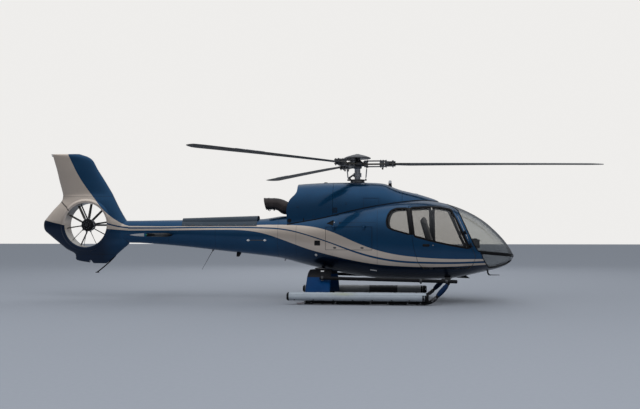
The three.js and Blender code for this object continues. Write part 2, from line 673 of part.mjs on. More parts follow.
function stabiliser(side) {
  const rings = [[90, -3800, -3195, 44], [1365, -3780, -3230, 32]].map(([y, back, front, half]) => {
    const ring = [];
    for (let k = 0; k < 14; k += 1) {
      const angle = (2 * Math.PI * k) / 14;
      const x = (back + front) / 2 + ((front - back) / 2) * Math.cos(angle);
      ring.push([x, y * side, 1450 + half * Math.sin(angle) * (1 + 0.35 * Math.cos(angle))]);
    }
    return ring;
  });
  return loft(rings).subtract(boomGrown);
}

function tailGuard() {
  const path = [[-4570, 0, 1085], [-4655, 0, 838], [-4900, 0, 612], [-5035, 0, 590]];
  return bentBar(path, 14, 8, 10).subtract(finSolid(TOUCH));
}

// Main rotor

const atMast = (solid) => solid.translate([ROTOR.x, 0, 0]);

function mastHousing() {
  const { mast, base } = HEAD;
  return atMast(turned([
    [mast + 13, base], [120, base], [125, 2560], [196, 2590], [196, 2606], [158, 2622], [158, 2640],
    [mast + 13, 2640], [mast + 13, base],
  ], 20));
}

function rotorMast() {
  const { mast, base, star } = HEAD;
  return atMast(turned([
    [0, base + TOUCH], [mast, base + TOUCH], [mast, 2741], [92, 2741], [92, 2820],
    [mast, 2820], [mast, star], [0, star],
  ], 20));
}

function swashplate() {
  const { mast, link, horn } = HEAD;
  const bore = mast + TOUCH;
  const ring = turned([[bore, 2646], [156, 2646], [156, 2682], [bore, 2682], [bore, 2646]], 20);
  const links = [0, 1, 2].map((k) => united([
    rod([link.radius, 0, 2662], [link.radius, 0, horn - TOUCH], 13, 8),
    box(130, link.radius + 14, -16, 16, 2650, 2674),
  ]).rotate([0, 0, 120 * k + link.angle]));
  return atMast(united([ring, ...links]));
}

function rotorHead() {
  const { star, horn } = HEAD;
  const arms = [];
  for (let k = 0; k < ROTOR.blades; k += 1) {
    const arm = united([
      box(60, 560, -58, 58, 3008, 3042),
      box(170, 640, -75, 75, 3086, 3106),
      box(170, 640, -75, 75, horn, horn + 18),
      box(515, 700, -72, 72, 2930, 3106),
      rod([560, -40, 2905], [560, -40, 2935], 16, 8),
      rod([560, 40, 2905], [560, 40, 2935], 16, 8),
      rod([185, 0, horn], [185, 0, 3106], 62, 10),
      box(150, 245, -190, -60, horn, horn + 18),
    ]);
    arms.push(arm.rotate([0, 0, k * 120]));
  }
  const core = turned([
    [0, star + TOUCH], [98, star + TOUCH], [98, 2975], [140, 3000], [140, 3060], [90, 3100],
    [60, 3150], [0, 3150],
  ], 20);
  return atMast(united([core, ...arms]));
}

function hubCap() {
  const under = 3150 + TOUCH;
  return atMast(turned([[0, under], [292, under], [297, 3168], [150, 3222], [60, 3245], [0, 3252]], 24));
}

// Blade section at a radius: the leading edge is towards -Y, so the rotor turns clockwise from above
function bladeSection(radius) {
  const { chord, radius: tip, droop, z, root } = ROTOR;
  const atRoot = Math.max(0, 1 - (radius - root) / 400);
  const toTip = Math.max(0, (radius - 0.93 * tip) / (0.07 * tip));
  const width = chord * (1 - 0.4 * Math.min(1, atRoot)) * (1 - 0.45 * toTip ** 2);
  const thick = (21 + 5 * Math.min(1, atRoot)) * (1 - 0.55 * toTip ** 2);
  const height = z - droop * (radius / tip) ** 1.5;
  const twist = THREE.MathUtils.degToRad(6 - 9 * (radius / tip));
  const ring = [];
  for (let k = 0; k < 12; k += 1) {
    const angle = (2 * Math.PI * k) / 12;
    const along = 0.5 - 0.5 * Math.cos(angle);
    const y = (along - 0.25) * width + 95 * toTip ** 2;
    const up = thick * Math.sin(angle) * (1.25 - 0.9 * along);
    const [c, s] = [Math.cos(twist), Math.sin(twist)];
    ring.push([radius, y * c + up * s, height - y * s + up * c]);
  }
  return ring;
}

function blade(index) {
  const radii = [700 + TOUCH, 860, 1158, 2200, 3400, 4500, 4970, 5110, 5230, 5300, ROTOR.radius];
  return atMast(loft(radii.map(bladeSection)).rotate([0, 0, index * 120]));
}

// Landing gear

// The front tube sweeps up from the skid's toe and runs across under the belly
const toeCurve = (side) => [
  [2630, side * SKID.y, 112], [2720, side * 1165, 217], [2850, side * 1085, 355],
  [2925, side * 960, 435], [2930, side * 800, 452], [2930, side * 500, 452],
];

function frontCrossTube(grow) {
  const half = toeCurve(-1);
  const points = [...half, ...half.slice().reverse().map(([x, y, z]) => [x, -y, z])];
  const saddles = [-1, 1].map((side) => box(2870, 2990, side * 560 - 60, side * 560 + 60, 430, 560));
  const sleeves = [-1, 1].map((side) => rod(
    [2572, side * SKID.y, 76], [2664, side * 1192, 150], 43 + grow, 10));
  return united([bentBar(points, 34 + grow, 22, 8), ...sleeves, ...saddles])
    .subtract(united([hullGrown, skidTube(-1, TOUCH), skidTube(1, TOUCH)]));
}

function skidTube(side, grow) {
  const { y, z, radius, rear, shoes } = SKID;
  const at = (x, height) => [x, y * side, height];
  return united([
    rod(at(rear, 24), at(-20, 26), 11 + grow, 8),
    rod(at(-60, z), at(2380, z), radius + grow, 12),
    bentBar([at(2370, z), at(2460, z + 3), at(2550, 66), at(2630 + grow, 117 + grow)], radius + grow, 5, 12),
    ...shoes.map(([x0, x1]) => box(x0, x1, side * y - 26, side * y + 26, 0, z)),
  ]);
}

// Streamlined rear legs on a round tube under the belly, each with a foot on its skid
function rearCrossTube(grow) {
  const rows = [[450, 690, 240, 50], [760, 600, 252, 52], [1060, 330, 260, 42], [1172, 125, 262, 26]];
  const leg = (side) => loft(rows.map(([y, z, half, thick]) => {
    const ring = [];
    for (let k = 0; k < 14; k += 1) {
      const angle = (2 * Math.PI * k) / 14;
      const out = (thick + grow) * Math.sin(angle);
      ring.push([205 + (half + grow) * Math.cos(angle), side * (y + out), z + 0.35 * out]);
    }
    return ring;
  }));
  const foot = (side) => {
    const [y0, y1] = [side * 1150, side * 1206].sort((a, b) => a - b);
    return box(60, 350, y0, y1, SKID.z, 140).subtract(rod(
      [0, side * SKID.y, SKID.z], [400, side * SKID.y, SKID.z], SKID.radius + 2 * TOUCH, 12));
  };
  const bar = rod([205, -470, 640], [205, 470, 640], 42, 12);
  return united([leg(-1), leg(1), foot(-1), foot(1), bar]).subtract(hullGrown);
}

function floatPack(side) {
  const { y, z, radius, rear, front } = FLOAT;
  const bag = turned([
    [0, rear], [radius - 22, rear], [radius, rear + 26],
    [radius, front - 26], [radius - 22, front], [0, front],
  ], 18).rotate([0, 90, 0]).translate([0, side * y, z]);
  const brackets = [520, 1150, 1750, 2250].map((x) => {
    const [y0, y1] = [side * (SKID.y - 10), side * y].sort((a, b) => a - b);
    return box(x, x + 45, y0, y1, SKID.z, 100);
  });
  const skidRoom = rod(
    [-200, side * SKID.y, SKID.z], [2400, side * SKID.y, SKID.z], SKID.radius + 2 * TOUCH, 12);
  return united([bag, ...brackets]).subtract(skidRoom);
}

function boardingStep(side) {
  const { y, radius, rear, front, zRear, zFront } = STEP;
  const tube = rod([rear, side * y, zRear], [front, side * y, zFront], radius, 12);
  const hangers = [
    rod([2890, side * y, zFront + 4], [2880, side * 1010, 400], 16, 8),
    rod([300, side * y, zRear], [300, side * 800, 560], 18, 8),
  ];
  return united([tube, ...hangers]).subtract(frontTubeGrown).subtract(rearTubeGrown);
}

// Cabin fittings

const SEAT_SHELL = [
  [2640, 990], [3130, 1030], [3140, 1000], [2700, 950], [2640, 940], [2590, 985], [2360, 1780], [2392, 1790],
];
const BENCH_SHELL = [
  [1500, 780], [1500, 1760], [1530, 1760], [1640, 1000], [2050, 1030], [2060, 1000], [1900, 960], [1900, 780],
];
const FRONT_PAD = [
  [2620, 980], [3120, 1020], [3130, 1085], [3080, 1110], [2760, 1090], [2500, 1850], [2440, 1870],
  [2400, 1840], [2380, 1780],
];
const REAR_PAD = [
  [1630, 995], [2045, 1020], [2055, 1085], [2010, 1108], [1745, 1090], [1632, 1800], [1575, 1830],
  [1545, 1800], [1520, 1750],
];

function frontSeat(side) {
  const y = side * SEAT.y;
  const low = CABIN.floor + TOUCH;
  const legs = [-190, 190].map((dy) => sidePrism(
    [[2680, 960], [2980, 990], [3040, low], [2640, low]], y + dy - 15, y + dy + 15));
  return united([sidePrism(SEAT_SHELL, y - SEAT.half, y + SEAT.half), ...legs]);
}

function frontCushion(side) {
  const y = side * SEAT.y;
  return sidePrism(FRONT_PAD, y - SEAT.half + 8, y + SEAT.half - 8)
    .subtract(sidePrism(grown(SEAT_SHELL, TOUCH), y - 400, y + 400));
}

function rearBench() {
  const base = box(1500, 1900, -SEAT.benchBase, SEAT.benchBase, CABIN.floor + TOUCH, 800);
  return united([base, sidePrism(BENCH_SHELL, -SEAT.bench, SEAT.bench)]);
}

const rearCushion = () => sidePrism(REAR_PAD, -SEAT.bench + 8, SEAT.bench - 8)
  .subtract(sidePrism(grown(BENCH_SHELL, TOUCH), -2000, 2000));

function instrumentPanel() {
  const stand = sidePrism([
    [3230, CABIN.floor + TOUCH], [3250, 930], [3440, 1110], [3440, 1330], [3560, 1350],
    [3600, 1100], [3530, CABIN.floor + TOUCH],
  ], -140, 140);
  const face = sidePrism([[3440, 1100], [3440, 1345], [3590, 1362], [3640, 1320], [3640, 1170]], -140, 400);
  return united([stand, face]);
}

function cyclicStick() {
  const base = rod([3120, SEAT.y, CABIN.floor + TOUCH], [3120, SEAT.y, CABIN.floor + 40], 40, 10);
  const stick = [[3120, 700], [3140, 900], [3190, 1080], [3150, 1180]].map(([x, z]) => [x, SEAT.y, z]);
  return base.add(bentBar(stick, 13, 5, 8));
}

function pedals() {
  const low = CABIN.floor + TOUCH;
  const bar = box(3400, 3430, 190, 420, low, low + 30);
  const plates = [[190, 265], [345, 420]].map(([y0, y1]) => sidePrism(
    [[3402, low + 10], [3425, low + 10], [3405, 880], [3385, 870]], y0, y1));
  return united([bar, ...plates]);
}

// Small fittings

const roofBeacon = () => turned([[0, 2480], [34, 2480], [34, 2655], [20, 2664], [0, 2664]], 14)
  .translate([1700, 0, 0]).subtract(cowlGrown);

const whipAntenna = () => rod([-2300, 0, 1120], [-2561, 0, 666], 6, 8, 3).subtract(boomGrown);

const bellyAntenna = () => sidePrism([[3080, 600], [3120, 520], [3437, 500], [3300, 600]], -9, 9)
  .subtract(hullGrown);

const pitotTube = () => bentBar(
  [[3790, -260, 760], [3795, -260, 640], [3815, -260, 600], [3880, -260, 588], [4050, -260, 588]], 11, 8, 8)
  .subtract(hullGrown);

// Assembly

const helicopter = new THREE.Group();

function addPiece(name, solid, [color, roughness, metalness]) {
  const material = new THREE.MeshStandardMaterial({ color, roughness, metalness });
  const mesh = new THREE.Mesh(geometryOf(solid), material);
  mesh.name = name;
  helicopter.add(mesh);
}

const frontTubeGrown = frontCrossTube(TOUCH);
const rearTubeGrown = rearCrossTube(TOUCH);

addPiece('lower_hull', lowerHull(), PAINT.navy);
addPiece('canopy', canopy(), PAINT.blue);
addPiece('front_door_right',
  frontDoor(FRONT_DOOR_RIGHT, WINDOW_FRONT_RIGHT, RIGHT, -1, DOOR_REAR_EDGE_RIGHT), PAINT.blue);
addPiece('front_door_left',
  frontDoor(FRONT_DOOR_LEFT, WINDOW_FRONT_LEFT, LEFT, 1, DOOR_REAR_EDGE_LEFT), PAINT.blue);
addPiece('sliding_door_left', doorPanel(SLIDING_DOOR_LEFT, WINDOW_SLIDING_LEFT, LEFT), PAINT.blue);
addPiece('door_window_right', pane(WINDOW_FRONT_RIGHT, RIGHT), PAINT.glass);
addPiece('door_window_left', pane(WINDOW_FRONT_LEFT, LEFT), PAINT.glass);
addPiece('sliding_door_window', pane(WINDOW_SLIDING_LEFT, LEFT), PAINT.glass);
addPiece('rear_window_right', pane(WINDOW_REAR_RIGHT, RIGHT), PAINT.glass);
for (const [word, side] of [['right', -1], ['left', 1]]) {
  addPiece(`windscreen_${word}`, frontGlass(WINDSCREEN, side), PAINT.glass);
  addPiece(`chin_window_${word}`, frontGlass(CHIN_WINDOW, side), PAINT.glass);
  addPiece(`luggage_door_${word}`, bayLid(side), PAINT.blue);
  addPiece(`front_seat_${word}`, frontSeat(side), PAINT.black);
  addPiece(`front_cushion_${word}`, frontCushion(side), PAINT.cloth);
  addPiece(`stabiliser_${word}`, stabiliser(side), PAINT.blue);
  addPiece(`skid_${word}`, skidTube(side, 0), PAINT.black);
  addPiece(`float_pack_${word}`, floatPack(side), PAINT.cloth);
  addPiece(`boarding_step_${word}`, boardingStep(side), PAINT.black);
}
addPiece('rear_bench', rearBench(), PAINT.black);
addPiece('rear_cushion', rearCushion(), PAINT.cloth);
addPiece('instrument_panel', instrumentPanel(), PAINT.black);
addPiece('cyclic_stick', cyclicStick(), PAINT.black);
addPiece('pedals', pedals(), PAINT.black);
addPiece('rear_body', rearBody(), PAINT.blue);
addPiece('engine_cowl', cowling(-1000, COWL_SPLIT.engine - 0.4), PAINT.blue);
addPiece('gearbox_cowl', cowling(COWL_SPLIT.engine, COWL_SPLIT.fairing - 0.4), PAINT.blue);
addPiece('roof_fairing', cowling(COWL_SPLIT.fairing, 3000), PAINT.blue);
addPiece('engine', engineBlock(), PAINT.steel);
addPiece('main_gearbox', mainGearbox(), PAINT.steel);
addPiece('exhaust_pipe', exhaustPipe(), PAINT.burnt);
addPiece('tail_boom', tailBoom(), PAINT.blue);
addPiece('drive_shaft_fairing', shaftFairing(), PAINT.navy);
addPiece('tail_fin', tailFin(), PAINT.gold);
addPiece('tail_gearbox', tailGearbox(), PAINT.grey);
addPiece('tail_fan', tailFan(), PAINT.blade);
addPiece('tail_guard', tailGuard(), PAINT.black);
addPiece('mast_housing', mastHousing(), PAINT.grey);
addPiece('rotor_mast', rotorMast(), PAINT.steel);
addPiece('swashplate', swashplate(), PAINT.grey);
addPiece('rotor_head', rotorHead(), PAINT.grey);
addPiece('hub_cap', hubCap(), PAINT.grey);
for (let k = 0; k < ROTOR.blades; k += 1) addPiece(`rotor_blade_${k + 1}`, blade(k), PAINT.blade);
addPiece('front_cross_tube', frontCrossTube(0), PAINT.black);
addPiece('rear_cross_tube', rearCrossTube(0), PAINT.blue);
addPiece('roof_beacon', roofBeacon(), PAINT.grey);
addPiece('whip_antenna', whipAntenna(), PAINT.black);
addPiece('belly_antenna', bellyAntenna(), PAINT.black);
addPiece('pitot_tube', pitotTube(), PAINT.black);

export default helicopter;
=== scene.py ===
"""Looks of a light helicopter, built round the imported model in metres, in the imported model's frame."""
from math import copysign, cos, exp, pi, radians, sin, tau

import bmesh
import bpy
from mathutils import Matrix, Vector
from mathutils.bvhtree import BVHTree


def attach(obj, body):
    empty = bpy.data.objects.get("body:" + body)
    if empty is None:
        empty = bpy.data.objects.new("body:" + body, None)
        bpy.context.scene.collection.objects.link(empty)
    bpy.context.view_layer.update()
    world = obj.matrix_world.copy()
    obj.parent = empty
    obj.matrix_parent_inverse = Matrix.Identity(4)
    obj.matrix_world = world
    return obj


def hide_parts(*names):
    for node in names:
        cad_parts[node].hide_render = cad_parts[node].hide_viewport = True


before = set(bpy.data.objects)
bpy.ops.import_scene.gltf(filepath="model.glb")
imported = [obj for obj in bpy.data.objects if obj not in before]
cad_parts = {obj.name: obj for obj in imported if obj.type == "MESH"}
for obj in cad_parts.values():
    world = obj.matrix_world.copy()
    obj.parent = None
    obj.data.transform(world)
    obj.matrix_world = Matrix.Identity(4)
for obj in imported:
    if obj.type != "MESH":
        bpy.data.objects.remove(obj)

bl_info = {
    "name": "Light Helicopter",
    "version": (1, 0, 0),
    "blender": (4, 5, 0),
    "location": "View3D > Sidebar > Helicopter",
    "description": "Adds a light helicopter: its skins, rotor, ducted tail fan, cabin and landing gear",
    "category": "Add Mesh",
}

MM = 0.001

# Cuts right through the body reach this far to each side, ahead and up, in millimetres
FAR, AHEAD, ABOVE = 2000, 5000, 3000

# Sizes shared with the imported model, in millimetres
WALL = 45
GAP = 8
TOUCH = 0.3
ROTOR_X = 975
DUCT_X, DUCT_Z, DUCT_R = -5245, 1678, 505
CABIN_REAR, CABIN_FLOOR, CABIN_SILL = 1450, 680, 735
BOOM_START, BOOM_END = -760, -4250

# Body sections: x, bottom, top, half width, height of the widest point, upper and lower exponent
HULL = [
    (4360, 965, 1030, 60, 997, 2.0, 2.0), (4300, 868, 1143, 270, 1000, 2.05, 2.05),
    (4190, 785, 1308, 430, 1010, 2.1, 2.15), (4000, 716, 1520, 590, 1030, 2.15, 2.25),
    (3730, 655, 1758, 745, 1060, 2.2, 2.4), (3400, 580, 1955, 870, 1100, 2.3, 2.6),
    (3000, 508, 2112, 965, 1150, 2.5, 2.9), (2500, 490, 2208, 1010, 1190, 2.7, 3.1),
    (2000, 492, 2205, 1015, 1220, 2.9, 3.1), (1450, 507, 2150, 985, 1240, 3.1, 3.0),
    (900, 580, 2070, 905, 1260, 3.1, 2.7), (350, 680, 1975, 795, 1280, 2.9, 2.5),
    (-150, 785, 1905, 650, 1320, 2.7, 2.3), (-500, 875, 1878, 510, 1370, 2.5, 2.2),
    (-760, 938, 1866, 415, 1400, 2.3, 2.1),
]
TAIL_BOOM = [
    (-660, 915, 1870, 452, 1388, 2.4, 2.15), (-760, 938, 1866, 415, 1400, 2.3, 2.1),
    (-1250, 1002, 1802, 325, 1420, 2.2, 2.1), (-2150, 1098, 1792, 262, 1450, 2.1, 2.1),
    (-3050, 1195, 1788, 212, 1490, 2.1, 2.1), (-3900, 1262, 1778, 170, 1520, 2.1, 2.1),
    (-4250, 1272, 1776, 155, 1524, 2.1, 2.1), (-4640, 1290, 1776, 140, 1530, 2.1, 2.1),
]
COWL = [
    (2760, 1700, 2192, 210, 1900, 2.0, 2.0), (2640, 1700, 2245, 330, 1900, 2.1, 2.0),
    (2360, 1650, 2334, 450, 1880, 2.3, 2.0), (1950, 1600, 2436, 545, 1860, 2.6, 2.2),
    (1740, 1580, 2512, 580, 1850, 2.8, 2.2), (1560, 1560, 2582, 605, 1850, 2.9, 2.2),
    (1200, 1500, 2606, 635, 1850, 3.0, 2.2), (700, 1450, 2611, 640, 1840, 3.0, 2.2),
    (250, 1400, 2607, 610, 1820, 2.9, 2.2), (-150, 1400, 2590, 540, 1800, 2.8, 2.2),
    (-420, 1400, 2570, 475, 1780, 2.7, 2.2), (-640, 1400, 2550, 420, 1760, 2.6, 2.2),
]

# Rear end of the cowling in the side view, x and z, and the splits between its three parts, x
COWL_REAR = [
    (-335, 2700), (-335, 2400), (-390, 2325), (-480, 2245), (-525, 2165),
    (-560, 2055), (-566, 1940), (-552, 1830), (-545, 1600),
]
COWL_SPLIT = (475, 1970)

# Fin and fan shroud sections, bottom to top: z, trailing x, leading x, half thickness
FIN = [
    (800, -5120, -4800, 40), (868, -5500, -4715, 60), (960, -5540, -4600, 85),
    (1030, -5575, -4525, 110), (1130, -5765, -4410, 150), (1260, -5935, -4270, 182),
    (1450, -6175, -4240, 196), (1570, -6300, -4240, 200), (1730, -6320, -4300, 198),
    (1830, -6260, -4370, 193), (2030, -6088, -4490, 178), (2220, -5908, -4590, 150),
    (2330, -5868, -4645, 126), (2430, -5878, -4697, 108), (2700, -5955, -4865, 90),
    (2960, -6022, -5035, 78), (3160, -6085, -5150, 66), (3250, -6112, -5262, 60),
    (3300, -6145, -5400, 50), (3325, -6170, -5480, 34),
]

# Side-view outlines of doors and windows: x, z
A_PILLAR_REAR = [(3082, 1985), (3185, 1720), (3285, 1490), (3385, 1260), (3500, 990)]
DOOR_LOW_FRONT = [(3440, 820), (3320, 752)]
DOOR_RIGHT = [
    *A_PILLAR_REAR, *DOOR_LOW_FRONT, (2480, 752), (2360, 790), (2300, 880), (2210, 1200),
    (2180, 1440), (2105, 2060), (2760, 2070), (3000, 2035),
]
REAR_EDGE_RIGHT = [
    (2360, 790), (2300, 880), (2210, 1200), (2180, 1440), (2145, 1730), (2120, 1940), (2105, 2060),
]
REAR_EDGE_LEFT = [(2720, 752), (2690, 1200), (2660, 1440), (2651, 1730), (2644, 1940), (2640, 2075)]
DOOR_LEFT = [*A_PILLAR_REAR, *DOOR_LOW_FRONT, *REAR_EDGE_LEFT, (2760, 2070), (3000, 2035)]
SLIDING_REAR = [(1640, 752), (1560, 800), (1540, 900), (1540, 1950), (1600, 2060)]
DOOR_SLIDING = [*[(x - 20, z) for x, z in reversed(REAR_EDGE_LEFT)], *SLIDING_REAR]
SLIDING_SPACE = [*reversed(REAR_EDGE_LEFT), *SLIDING_REAR]
WINDOW_FRONT = [(2990, 1985), (3120, 1720), (3222, 1490), (3322, 1262), (3368, 1190), (3330, 1182)]
WINDOW_RIGHT = [
    *WINDOW_FRONT, (2960, 1250), (2550, 1342), (2250, 1425), (2235, 1445), (2165, 2000),
    (2180, 2018), (2560, 2034), (2760, 2030),
]
WINDOW_LEFT = [
    *WINDOW_FRONT, (2960, 1250), (2730, 1300), (2712, 1320), (2692, 2020), (2705, 2030), (2760, 2030),
]
WINDOW_REAR_END = [(1850, 2000), (1745, 1955), (1685, 1860), (1655, 1725), (1680, 1620), (1760, 1575)]
WINDOW_REAR = [(2062, 2005), *WINDOW_REAR_END, (2110, 1475), (2122, 1490)]
WINDOW_SLIDING = [(2575, 2030), *WINDOW_REAR_END, (2150, 1462), (2580, 1345), (2592, 1360)]
WINDSCREEN = [
    (2945, 2300), (2945, 2125), (3160, 1985), (3262, 1720), (3362, 1490), (3462, 1262),
    (3560, 1110), (3600, 1100), (4500, 1018), (4500, 2300),
]
CHIN_WINDOW = [
    (3632, 1052), (3665, 950), (3725, 850), (3800, 752), (3980, 765), (4200, 835),
    (4330, 905), (4500, 925), (4500, 972),
]
SILL_LINE = [(CABIN_REAR + TOUCH, CABIN_SILL), (3500, CABIN_SILL), (3740, 672), (AHEAD, 672)]

# Hinges of the left front door: x, y, z
HINGE_LOW, HINGE_HIGH = (3402, 890, 1230), (3287, 872, 1500)

# Half width of the windscreen's centre post, and corner radii of doors, panes and the windscreen's openings
CENTRE_POST = 24
DOOR_CORNER, PANE_CORNER, SCREEN_CORNER = 40, 30, 25

# Luggage bays: middle and half length along x, height, distance out and depth, and the wall's turn in degrees
BAY = {"x": 835, "half": 505, "z0": 1135, "z1": 1615, "skin": 900, "depth": 400, "turn": 9.2}

# Gold band along the body, upper and lower edge: x, z
BAND_TOP = [
    (-5.6, 1.655), (-4.3, 1.655), (-3.4, 1.644), (-2.4, 1.652), (-1.6, 1.66), (-1.0, 1.677), (-0.6, 1.672),
    (-0.33, 1.662), (-0.07, 1.648), (0.06, 1.632), (0.19, 1.602), (0.33, 1.57), (0.448, 1.533), (0.60, 1.47),
    (0.873, 1.342), (1.296, 1.169), (1.717, 1.058), (2.135, 0.996), (2.966, 0.946), (3.8, 0.942),
]
BAND_LOW = [
    (-5.6, 1.56), (-4.3, 1.548), (-3.47, 1.552), (-1.9, 1.566), (-1.55, 1.56), (-1.2, 1.51), (-1.0, 1.468),
    (-0.74, 1.378), (-0.46, 1.282), (-0.2, 1.188), (0.06, 1.11), (0.33, 1.043), (0.60, 0.978), (1.084, 0.877),
    (1.716, 0.802), (2.551, 0.774), (3.8, 0.824),
]
BAND_LINE = [
    (-5.6, 1.612), (-3.47, 1.608), (-2.66, 1.618), (-1.6, 1.618), (-1.0, 1.603), (-0.74, 1.59), (-0.46, 1.55),
    (-0.2, 1.485), (0.06, 1.405), (0.33, 1.327), (0.60, 1.225), (0.873, 1.125),
    (1.296, 0.995), (1.717, 0.915), (2.135, 0.875), (2.966, 0.862), (3.8, 0.885),
]

# Panel lines of the body in the side view: upright ones as x, z0, z1, level ones as z, x0, x1
UPRIGHT_SEAMS = [
    (-0.76, 0.9, 1.9), (1.45, 0.4, 1.97), (-0.33, 1.0, 1.66), (-2.2, 1.05, 1.57), (-3.3, 1.15, 1.56),
]
LEVEL_SEAMS = [(1.71, 0.62, 1.42)]


# Section tables as smooth skins

def row_at(rows, place):
    """Smooth values of a table at a place counted in rows."""
    i = min(int(place), len(rows) - 2)
    t = place - i
    a, b, c, d = (rows[min(max(k, 0), len(rows) - 1)] for k in (i - 1, i, i + 1, i + 2))
    values = []
    for k, value in enumerate(b):
        slope_in = (c[k] - a[k]) / (1 if i == 0 else 2)
        slope_out = (d[k] - value) / (1 if i + 2 >= len(rows) else 2)
        rise = c[k] - value
        bend, twist = 3 * rise - 2 * slope_in - slope_out, slope_in + slope_out - 2 * rise
        values.append(value + t * (slope_in + t * (bend + t * twist)))
    return values


def power(value, exponent):
    return copysign(abs(value) ** exponent, value)


# How far the rounded nose stands ahead of the first section, in millimetres
NOSE_DOME = 14


def skin_point(rows, place, angle):
    """Point of a body skin in metres; a place below zero rounds off the nose."""
    x, low, high, half, wide, upper, lower = row_at(rows, max(place, 0.0))
    c, s = cos(angle), sin(angle)
    exponent = 2 / (upper if s >= 0 else lower)
    height = (high - wide) if s >= 0 else (wide - low)
    shrink = 1.0
    if place < 0:
        shrink = cos(-place * pi / 2)
        x += NOSE_DOME * sin(-place * pi / 2)
    y = shrink * half * power(c, exponent)
    return Vector((x, y, wide + shrink * height * power(s, exponent))) * MM


def inset_point(rows, place, angle, inset):
    """Point of the skin moved inwards along the skin's own normal."""
    point = skin_point(rows, place, angle)
    if not inset:
        return point
    last = len(rows) - 1
    along = skin_point(rows, min(place + 0.02, last), angle) - skin_point(rows, max(place - 0.02, 0), angle)
    around = skin_point(rows, max(place, 0), angle + 0.04) - skin_point(rows, max(place, 0), angle - 0.04)
    normal = along.cross(around).normalized()
    opposite = skin_point(rows, place, angle + pi)
    outward = 1 if (point - opposite).dot(normal) >= 0 else -1
    return point - normal * (inset * MM * outward)


# Meshes

def grid(columns, rings, place_point):
    """A grid with its vertices at place_point(u, v), u and v from 0 to 1; meeting edges are merged."""
    bm = bmesh.new()
    bmesh.ops.create_grid(bm, x_segments=columns, y_segments=rings, size=0.5)
    for vertex in bm.verts:
        vertex.co = place_point(vertex.co.x + 0.5, vertex.co.y + 0.5)
    bmesh.ops.remove_doubles(bm, verts=bm.verts, dist=1e-5)
    return bm


def closed(bm):
    """Fills the open ends and turns every face outwards."""
    bmesh.ops.holes_fill(bm, edges=bm.edges[:], sides=0)
    bmesh.ops.recalc_face_normals(bm, faces=bm.faces[:])
    return bm


def to_mesh(bm, name="part"):
    mesh = bpy.data.meshes.new(name)
    bm.to_mesh(mesh)
    bm.free()
    return mesh


def lofted(columns, rings, place_point):
    """A closed solid over a grid."""
    return to_mesh(closed(grid(columns, rings, place_point)))


def body_mesh(rows, inset=0.0, steps=8, sides=96, nose=False):
    first = -1.0 if nose and not inset else 0.0
    span = len(rows) - 1 - first

    def place(u, v):
        return inset_point(rows, first + span * u, tau * v, inset)
    return lofted(round(steps * span), sides, place)


def rounded(outline, radius):
    """Outline with its corners cut back by the radius and bent over."""
    points = [Vector(p) for p in outline]
    made = []
    for i, corner in enumerate(points):
        before, after = points[i - 1], points[(i + 1) % len(points)]
        a = corner + (before - corner).normalized() * min(radius, (before - corner).length * 0.45)
        b = corner + (after - corner).normalized() * min(radius, (after - corner).length * 0.45)
        for k in range(5):
            t = k / 4
            made.append(a * (1 - t) ** 2 + corner * (2 * t * (1 - t)) + b * t * t)
    return made


def grown(outline, distance):
    """Outline moved outwards by a distance."""
    points = [Vector(p) for p in outline]
    area = sum(p.x * points[i - 1].y - p.y * points[i - 1].x for i, p in enumerate(points))
    side = 1 if area < 0 else -1
    made = []
    for i, p in enumerate(points):
        into = (p - points[i - 1]).normalized()
        out = (points[(i + 1) % len(points)] - p).normalized()
        edge, following = Vector((into.y, -into.x)) * side, Vector((out.y, -out.x)) * side
        normal = (edge + following).normalized()
        made.append(p + normal * (distance / max(0.35, normal.dot(edge))))
    return made


def extruded(corners, way):
    """A flat outline made solid along a direction; corners and direction are in millimetres."""
    bm = bmesh.new()
    face = bm.faces.new([bm.verts.new([value * MM for value in corner]) for corner in corners])
    made = bmesh.ops.extrude_face_region(bm, geom=[face])
    verts = [v for v in made["geom"] if isinstance(v, bmesh.types.BMVert)]
    bmesh.ops.translate(bm, verts=verts, vec=[value * MM for value in way])
    bmesh.ops.recalc_face_normals(bm, faces=bm.faces[:])
    return to_mesh(bm)


def prism(outline, y0=-FAR, y1=FAR):
    """A side-view outline of x, z points made solid from y0 to y1."""
    return extruded([(x, y0, z) for x, z in outline], (0, y1 - y0, 0))


def soft_prism(outline, radius, y0=-FAR, y1=FAR, *bevel):
    """A prism with rounded corners, and with rounded edges where a bevel is given."""
    mesh = prism(rounded(outline, radius), y0, y1)
    return bevelled(mesh, *bevel) if bevel else mesh


def block(x0, x1, y0, y1, z0, z1, *bevel):
    mesh = prism([(x0, z0), (x1, z0), (x1, z1), (x0, z1)], y0, y1)
    return bevelled(mesh, *bevel) if bevel else mesh


def slab(outline, z0, z1, *bevel):
    """A plan-view outline of x, y points made solid from z0 to z1."""
    mesh = extruded([(x, y, z0) for x, y in outline], (0, 0, z1 - z0))
    return bevelled(mesh, *bevel) if bevel else mesh


def box_outline(width, height):
    a, b = width / 2, height / 2
    return [(-a, -b), (a, -b), (a, b), (-a, b)]


def tile(width, height, radius, z0, z1, *bevel):
    """A rectangular plate about the origin, its corners rounded where a radius is given."""
    outline = box_outline(width, height)
    return slab(rounded(outline, radius) if radius else outline, z0, z1, *bevel)


